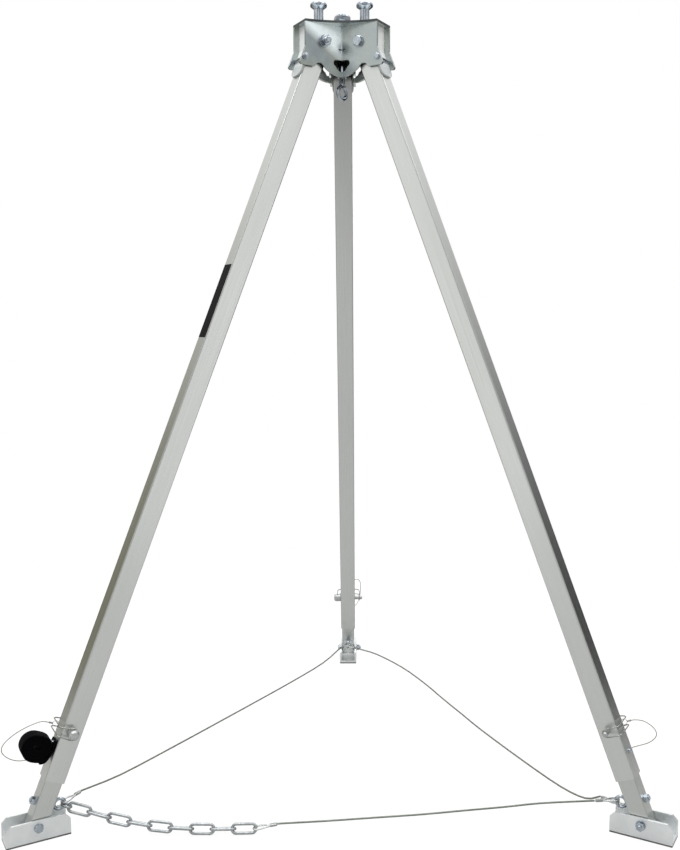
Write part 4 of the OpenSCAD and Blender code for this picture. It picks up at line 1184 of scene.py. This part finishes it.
def zinc_sheet(name, tones, rough, painted_edge_tone, metallic=1.0, **zones):
    """Cloudy zinc in four tones, with other tones in the zones that are named.

    One zone is a painted highlight, a brighter patch up by one corner. cut: painted shade,
    near black on upright faces. inner: painted shade on faces close to the tripod's axis
    that face it. low: a darker tone below the leg pockets.
    """
    material, tree, shader = new_finish(name, metallic, 0.35)
    place = surface_place(tree)
    axes = axes_of(tree, place)
    clouds = noise(tree, surface_place(tree, stretch=(1, 1, 0.6)), 13.0, 3.0, 0.55)
    patches = noise(tree, place, 46.0, 4.0, 0.6)
    colour = tints(tree, clouds, [(0.34, tones[0]), (0.5, tones[1]), (0.66, tones[2])])
    colour = blended(tree, levels(tree, patches, 0.0, 0.3), colour, tones[3])
    # Painted highlight: a brighter patch up by the sheet's upper left corner.
    if "bare" in zones:
        slant = vector_maths(tree, "DOT_PRODUCT", place, (0.75, 0, 1))
        painted_highlight_mask = maths(tree, "MULTIPLY", levels(tree, slant, 0.0, 1.0, *PAINTED_HIGHLIGHT_ABOVE),
                     levels(tree, axes["X"], 1.0, 0.25, *PAINTED_HIGHLIGHT_LEFT))
        colour = blended(tree, painted_highlight_mask, colour, zones["bare"])
    # Painted light along the sharp edges: the edge tone is lighter than the face on some sheets and
    # darker on others.
    normal, edge = round_edges(tree, 0.0011)
    colour = blended(tree, edge, colour, painted_edge_tone)
    # Painted shade: faces close to the tripod's axis that face it are painted near black.
    if "inner" in zones:
        outward = vector_maths(tree, "MULTIPLY_ADD", place, (1, 1, 0), (0, -AXIS_Y * MM, 0))
        away = vector_maths(tree, "DOT_PRODUCT", outward, facing(tree))
        reach = vector_maths(tree, "LENGTH", outward)
        painted_inner_shade = levels(tree, away, 1.0, 0.0, *INNER_SHADE_FACING)
        painted_inner_shade = maths(tree, "MULTIPLY", painted_inner_shade, levels(tree, reach, 1.0, 0.0, *INNER_SHADE_REACH))
        painted_inner_shade = maths(tree, "MULTIPLY", painted_inner_shade, levels(tree, axes["Z"], 0.0, 1.0, *INNER_SHADE_ABOVE))
        colour = blended(tree, painted_inner_shade, colour, zones["inner"])
    # A darker tone below the leg pockets.
    if "low" in zones:
        darker_low = levels(tree, axes["Z"], 1.0, 0.0, *DARKER_BELOW)
        colour = blended(tree, darker_low, colour, zones["low"])
    # Painted shade: upright faces, which are the top plate's edges, are painted near black.
    if "cut" in zones:
        normals = tree.nodes.new("ShaderNodeNewGeometry").outputs["Normal"]
        level = maths(tree, "ABSOLUTE", axes_of(tree, normals)["Z"])
        colour = blended(tree, levels(tree, level, 1.0, 0.0, 0.4, 0.6), colour, zones["cut"])
    paint(tree, shader, colour, levels(tree, patches, *rough))
    fine = noise(tree, surface_place(tree, stretch=(1, 1, 0.25)), 1400.0, 2.0)
    grain(tree, shader, fine, 0.00008, 0.4, normal)
    return material


zinc_plate = zinc_sheet(
    "zinc_plate",
    [(0.24, 0.28, 0.30), (0.28, 0.31, 0.30), (0.31, 0.33, 0.27), (0.22, 0.25, 0.25)],
    (0.22, 0.36), (0.50, 0.54, 0.53), bare=(0.76, 0.83, 0.84), inner=INNER_SHADE)
# Painted light: the side and top plates are the same zinc sheet as the front plate, given lighter tones
# as lit copies of it.
side_zinc = zinc_sheet(
    "side_zinc",
    [(0.46, 0.51, 0.52), (0.50, 0.54, 0.52), (0.52, 0.55, 0.48), (0.42, 0.46, 0.45)],
    (0.26, 0.40), (0.62, 0.66, 0.65), inner=INNER_SHADE)
top_zinc = zinc_sheet(
    "top_zinc",
    [(0.44, 0.49, 0.51), (0.48, 0.51, 0.51), (0.48, 0.51, 0.46), (0.40, 0.44, 0.44)],
    (0.20, 0.34), (0.42, 0.45, 0.45), cut=(0.10, 0.11, 0.115))
pale_zinc = zinc_sheet(
    "pale_zinc",
    [(0.86, 0.89, 0.90), (0.90, 0.92, 0.91), (0.90, 0.92, 0.88), (0.82, 0.85, 0.85)],
    (0.42, 0.58), (0.62, 0.64, 0.64), metallic=0.1, low=(0.52, 0.55, 0.55))
coat(zinc_plate, nodes["front_side_plate"])
coat(side_zinc, nodes["left_side_plate"], nodes["right_side_plate"])
coat(top_zinc, nodes["top_plate"])
coat(pale_zinc, nodes["stop_plates"])
print(zinc_plate.name, len(zinc_plate.node_tree.nodes), "nodes")

# %% [markdown]
# Bolts, knobs, barrels and pins carry a brighter, bluish zinc. It is smoother than the
# sheet, so its reflections are sharper, with a haze of handling marks.

# %% Bright zinc
def bright_metal(name, light, dark, rough, edge_radius=None):
    material, tree, shader = new_finish(name, 1.0, 0.2)
    haze = noise(tree, surface_place(tree), 70.0, 4.0, 0.6)
    marks = noise(tree, surface_place(tree), 420.0, 3.0, 0.6)
    colour = tints(tree, haze, [(0.35, dark), (0.65, light)])
    normal = None
    if edge_radius:
        normal, edge = round_edges(tree, edge_radius)
        # Painted highlight: the sharp edges are painted lighter than the face.
        colour = blended(tree, edge, colour, scaled(light, 1.12))
    paint(tree, shader, colour, levels(tree, haze, *rough))
    grain(tree, shader, marks, 0.00006, 0.4, normal)
    return material


bright_zinc = bright_metal(
    "bright_zinc", (0.50, 0.545, 0.59), (0.34, 0.38, 0.425), (0.10, 0.22), 0.0006)
dull_zinc = bright_metal(
    "dull_zinc", (0.54, 0.55, 0.55), (0.42, 0.43, 0.43), (0.36, 0.5), 0.0008)
ferrule_metal = bright_metal(
    "pressed_sleeve_metal", (0.42, 0.43, 0.42), (0.28, 0.29, 0.28), (0.25, 0.4))
spring_steel = bright_metal(
    "spring_steel", (0.36, 0.37, 0.39), (0.27, 0.28, 0.30), (0.25, 0.35))
bail_steel = bright_metal(
    "bail_steel", (0.44, 0.45, 0.42), (0.24, 0.25, 0.23), (0.16, 0.30))
bright_pieces = [nodes["plunger_barrels"], nodes["hoist_eye_bolt"], hoist_nuts]
bright_pieces += [piece for pieces in bolt_sets.values() for piece in pieces]
for leg in LEGS:
    bright_pieces += [nodes[leg + "_lanyard_rivet"], nodes[leg + "_tie_eye"], plungers[leg]]
    coat(dull_zinc, nodes[leg + "_lock_pin"])
    coat(bail_steel, bail_pieces[leg])
coat(bright_zinc, *bright_pieces)
coat(spring_steel, plunger_coils)
print("bright pieces:", len(bright_pieces))

# %% [markdown]
# The foot channels are bare aluminium, paler and rougher than the legs. The rope and
# chain are hot-dip galvanised, which freezes into small grey crystals: a Voronoi
# pattern gives each crystal its own tone.

# %% Raw aluminium and galvanised steel
def raw_aluminium():
    material, tree, shader = new_finish("raw_aluminium", 1.0, 0.5)
    clouds = noise(tree, surface_place(tree), 22.0, 4.0, 0.6)
    scratches = noise(tree, surface_place(tree, stretch=(1, 1, 14)), 60.0, 5.0, 0.7)
    colour = tints(tree, clouds, [(0.3, (0.79, 0.812, 0.82)), (0.7, (0.87, 0.892, 0.895))])
    normal, edge = round_edges(tree, 0.0008)
    colour = blended(tree, levels(tree, scratches, 0.0, 0.25, 0.5, 0.75), colour, (0.72, 0.73, 0.73))
    # Painted highlight: the sharp edges are painted lighter than the face.
    colour = blended(tree, edge, colour, (0.93, 0.94, 0.94))
    paint(tree, shader, colour, levels(tree, clouds, 0.38, 0.54))
    grain(tree, shader, scratches, 0.0001, 0.4, normal)
    return material


def galvanised(name, light, dark, size):
    material, tree, shader = new_finish(name, 1.0, 0.4)
    crystals = tree.nodes.new("ShaderNodeTexVoronoi")
    crystals.inputs["Scale"].default_value = size
    tree.links.new(surface_place(tree), crystals.inputs["Vector"])
    split = tree.nodes.new("ShaderNodeSeparateColor")
    tree.links.new(crystals.outputs["Color"], split.inputs["Color"])
    stain = noise(tree, surface_place(tree), 34.0, 4.0, 0.6)
    colour = tints(tree, split.outputs["Red"], [(0.1, dark), (0.9, light)])
    stained = levels(tree, stain, 0.0, 0.35, 0.45, 0.7)
    colour = blended(tree, stained, colour, scaled(dark, 0.72))
    paint(tree, shader, colour, levels(tree, split.outputs["Green"], 0.28, 0.46, 0.0, 1.0))
    grain(tree, shader, stain, 0.0001, 0.4)
    return material


foot_metal = raw_aluminium()
chain_zinc = galvanised("galvanised_chain", (0.50, 0.52, 0.53), (0.36, 0.38, 0.39), 260.0)
rope_zinc = galvanised("galvanised_rope", (0.30, 0.32, 0.29), (0.18, 0.20, 0.17), 700.0)
# Painted highlight: the loops are the same galvanised rope as the cords, painted much lighter.
loop_painted_highlight = galvanised("rope_loop_painted_highlight", (0.74, 0.76, 0.76), (0.60, 0.62, 0.62), 500.0)
coat(foot_metal, *(nodes[leg + "_foot_channel"] for leg in LEGS))
coat(chain_zinc, chain, quick_link)
coat(rope_zinc, *rope_pieces.values())
for loop, sleeve in rope_ends.values():
    coat(loop_painted_highlight, loop)
    coat(ferrule_metal, sleeve)
print("rope ends coated:", len(rope_ends))

# %% [markdown]
# What isn't metal: a clear coat turned olive on the lanyards, grey rubber soles, pale
# slide washers at the pivots, the black webbing and the plain dark strip on the left
# leg. The webbing's twill is a pair of crossed waves on its UV map, about 1.6 mm a
# thread.

# %% Coated cable, rubber, washers, webbing and film
def coated_cable():
    material, tree, shader = new_finish("lanyard_coat", 0.25, 0.35)
    age = noise(tree, surface_place(tree), 90.0, 3.0)
    olive = tints(tree, age, [(0.3, (0.15, 0.145, 0.095)), (0.7, (0.22, 0.21, 0.15))])
    paint(tree, shader, olive, levels(tree, age, 0.28, 0.42))
    shader.inputs["Coat Weight"].default_value = 0.3
    grain(tree, shader, noise(tree, surface_place(tree), 900.0, 2.0), 0.00005, 0.3)
    return material


def moulded(name, light, dark, rough, pores):
    material, tree, shader = new_finish(name, 0.0, rough[1])
    dust = noise(tree, surface_place(tree), 55.0, 4.0, 0.6)
    colour = tints(tree, dust, [(0.35, dark), (0.68, light)])
    paint(tree, shader, colour, levels(tree, dust, *rough))
    grain(tree, shader, noise(tree, surface_place(tree), pores, 3.0), 0.0002, 0.4)
    return material


def twill_webbing():
    material, tree, shader = new_finish("black_webbing", 0.0, 0.85)
    uv = tree.nodes.new("ShaderNodeUVMap")
    uv.uv_map = "weave"
    threads = []
    for turn in (38, -38):
        mapping = tree.nodes.new("ShaderNodeMapping")
        mapping.inputs["Rotation"].default_value = (0, 0, math.radians(turn))
        tree.links.new(uv.outputs["UV"], mapping.inputs["Vector"])
        wave = tree.nodes.new("ShaderNodeTexWave")
        wave.inputs["Scale"].default_value = 195.0
        wave.inputs["Distortion"].default_value = 0.6
        wave.inputs["Detail"].default_value = 1.0
        tree.links.new(mapping.outputs["Vector"], wave.inputs["Vector"])
        threads.append(wave.outputs["Fac"])
    weave = maths(tree, "MULTIPLY", *threads)
    fluff = noise(tree, surface_place(tree), 160.0, 4.0, 0.7)
    colour = tints(tree, weave, [(0.0, (0.0006, 0.0006, 0.0009)), (0.8, (0.003, 0.003, 0.0045))])
    worn = levels(tree, fluff, 0.0, 0.35, 0.5, 0.75)
    colour = blended(tree, worn, colour, (0.0045, 0.0045, 0.0065))
    paint(tree, shader, colour, levels(tree, fluff, 0.72, 0.92))
    shader.inputs["Sheen Weight"].default_value = 0.01
    shader.inputs["Specular IOR Level"].default_value = 0.04
    grain(tree, shader, weave, 0.0005, 0.7)
    return material


def dark_film():
    material, tree, shader = new_finish("dark_film", 0.0, 0.35)
    turn = leg_matrix("left").to_3x3().inverted().to_euler()
    scuffs = noise(tree, surface_place(tree, turn, (60, 240, 12)), 1.0, 5.0, 0.65)
    colour = tints(tree, scuffs, [(0.4, (0.003, 0.003, 0.0045)), (0.8, (0.009, 0.008, 0.008))])
    paint(tree, shader, colour, levels(tree, scuffs, 0.38, 0.6))
    shader.inputs["Specular IOR Level"].default_value = 0.05
    grain(tree, shader, scuffs, 0.00008, 0.3)
    return material


sole_rubber = moulded("sole_rubber", (0.17, 0.17, 0.165), (0.10, 0.10, 0.10), (0.7, 0.9), 700.0)
slide_washer = moulded("slide_washer", (0.74, 0.73, 0.69), (0.64, 0.63, 0.60), (0.35, 0.5), 500.0)
coat(coated_cable(), *lanyard_pieces.values())
coat(sole_rubber, *sole_pieces)
coat(slide_washer, *(nodes[leg + "_pivot_bush"] for leg in LEGS))
coat(twill_webbing(), strap)
coat(dark_film(), nodes["marking_strip"])
print("finishes:", len(bpy.data.materials))

# %% [markdown]
# The studio is a pale floor in a pale room. The floor keeps a faint shadow and lets the
# camera look through it, because the feet of the folded or lengthened legs go below it
# while the head stays in its place.

# %% Floor
bpy.ops.object.select_all(action="DESELECT")
bpy.ops.mesh.primitive_plane_add(size=4.6, location=(0, -0.3, -0.0005))
floor = bpy.context.object
floor.name = "studio_floor"
floor_paint, tree, shader = new_finish("floor_white", 0.0, 0.9)
shader.inputs["Base Color"].default_value = (0.42, 0.42, 0.415, 1)
shader.inputs["Specular IOR Level"].default_value = 0.1
rays = tree.nodes.new("ShaderNodeLightPath").outputs
seen = maths(tree, "MAXIMUM", rays["Is Camera Ray"], rays["Is Transmission Ray"])
lit = maths(tree, "MAXIMUM", seen, rays["Is Glossy Ray"])
glow = tree.nodes.new("ShaderNodeEmission")
glow.inputs["Color"].default_value = (1, 1, 1, 1)
tree.links.new(levels(tree, lit, 0.0, 0.16, 0.0, 1.0), glow.inputs["Strength"])
clear = tree.nodes.new("ShaderNodeBsdfTransparent")
veil = tree.nodes.new("ShaderNodeMixShader")
tree.links.new(levels(tree, seen, 0.0, 0.75, 0.0, 1.0), veil.inputs["Fac"])
tree.links.new(shader.outputs["BSDF"], veil.inputs[1])
tree.links.new(clear.outputs["BSDF"], veil.inputs[2])
surface = tree.nodes.new("ShaderNodeAddShader")
tree.links.new(veil.outputs["Shader"], surface.inputs[0])
tree.links.new(glow.outputs["Emission"], surface.inputs[1])
tree.links.new(surface.outputs["Shader"], tree.nodes["Material Output"].inputs["Surface"])
coat(floor_paint, floor)
print(floor.name, floor.dimensions.x, "m wide")

# %% [markdown]
# The room is bright in front, with two darker stripes, and dark low down at the sides,
# so the metal has something to reflect: bright fronts and darker flanks, as in the
# photograph. Rays from the camera see white.

# %% Room
world = bpy.data.worlds.new("pale_room")
bpy.context.scene.world = world
world.use_nodes = True
tree = world.node_tree
sides = axes_of(tree, tree.nodes.new("ShaderNodeTexCoord").outputs["Generated"])
width = maths(tree, "ABSOLUTE", sides["X"])


def step(axis, start, end, low=0.0, high=1.0):
    """From low before start to high after end, along an axis of the room."""
    return levels(tree, axis, low, high, start, end)


low_flank = blended(tree, step(sides["X"], -0.35, 0.35), (0.20, 0.195, 0.13), (0.02, 0.022, 0.02))
flank = blended(tree, step(sides["Z"], 0.1, 0.54), low_flank, (1.2, 1.2, 1.2))
front = blended(tree, step(width, 0.48, 0.66), (0.3, 0.305, 0.31), (1.08, 1.08, 1.07))
middle = blended(tree, step(sides["Z"], -0.1, 0.15), (0.42, 0.42, 0.42), (0.95, 0.95, 0.95))
front = blended(tree, step(width, 0.26, 0.36, 1.0, 0.0), front, middle)
front = blended(tree, step(sides["Z"], 0.3, 0.55), front, (0.6, 0.6, 0.6))
walls = blended(tree, step(sides["Y"], -0.3, 0.05, 1.0, 0.0), flank, front)

rays = tree.nodes.new("ShaderNodeLightPath").outputs
shiny = maths(tree, "MAXIMUM", rays["Is Glossy Ray"], rays["Is Transmission Ray"])
backdrop = maths(tree, "MULTIPLY", step(sides["Y"], 0.88, 0.98), shiny)
white = maths(tree, "MAXIMUM", backdrop, rays["Is Camera Ray"])
tree.links.new(blended(tree, white, walls, (1.0, 1.0, 1.0)), tree.nodes["Background"].inputs["Color"])
print(world.name, len(tree.nodes), "nodes")

# %% [markdown]
# Three large soft lamps light the tripod: a key from the upper left, a weaker fill from
# the right and a top light that draws the edges of the head. Their size keeps shadows
# soft, and their power keeps a mid grey at about its own value.

# %% Soft lamps
def soft_lamp(name, place, target, size, power):
    bpy.ops.object.select_all(action="DESELECT")
    bpy.ops.object.light_add(type="AREA", location=place)
    lamp = bpy.context.object
    lamp.name = name
    lamp.data.size = size
    lamp.data.energy = power
    lamp.rotation_euler = (Vector(target) - Vector(place)).to_track_quat("-Z", "Y").to_euler()
    return lamp


soft_lamp("key_lamp", (-1.5, -1.6, 4.8), (0, -0.2, 1.0), 2.4, 70)
soft_lamp("fill_lamp", (1.9, -0.9, 4.6), (0, -0.2, 1.0), 2.4, 40)
soft_lamp("top_lamp", (0.2, 0.4, 4.8), (0, -0.2, 1.0), 2.0, 30)
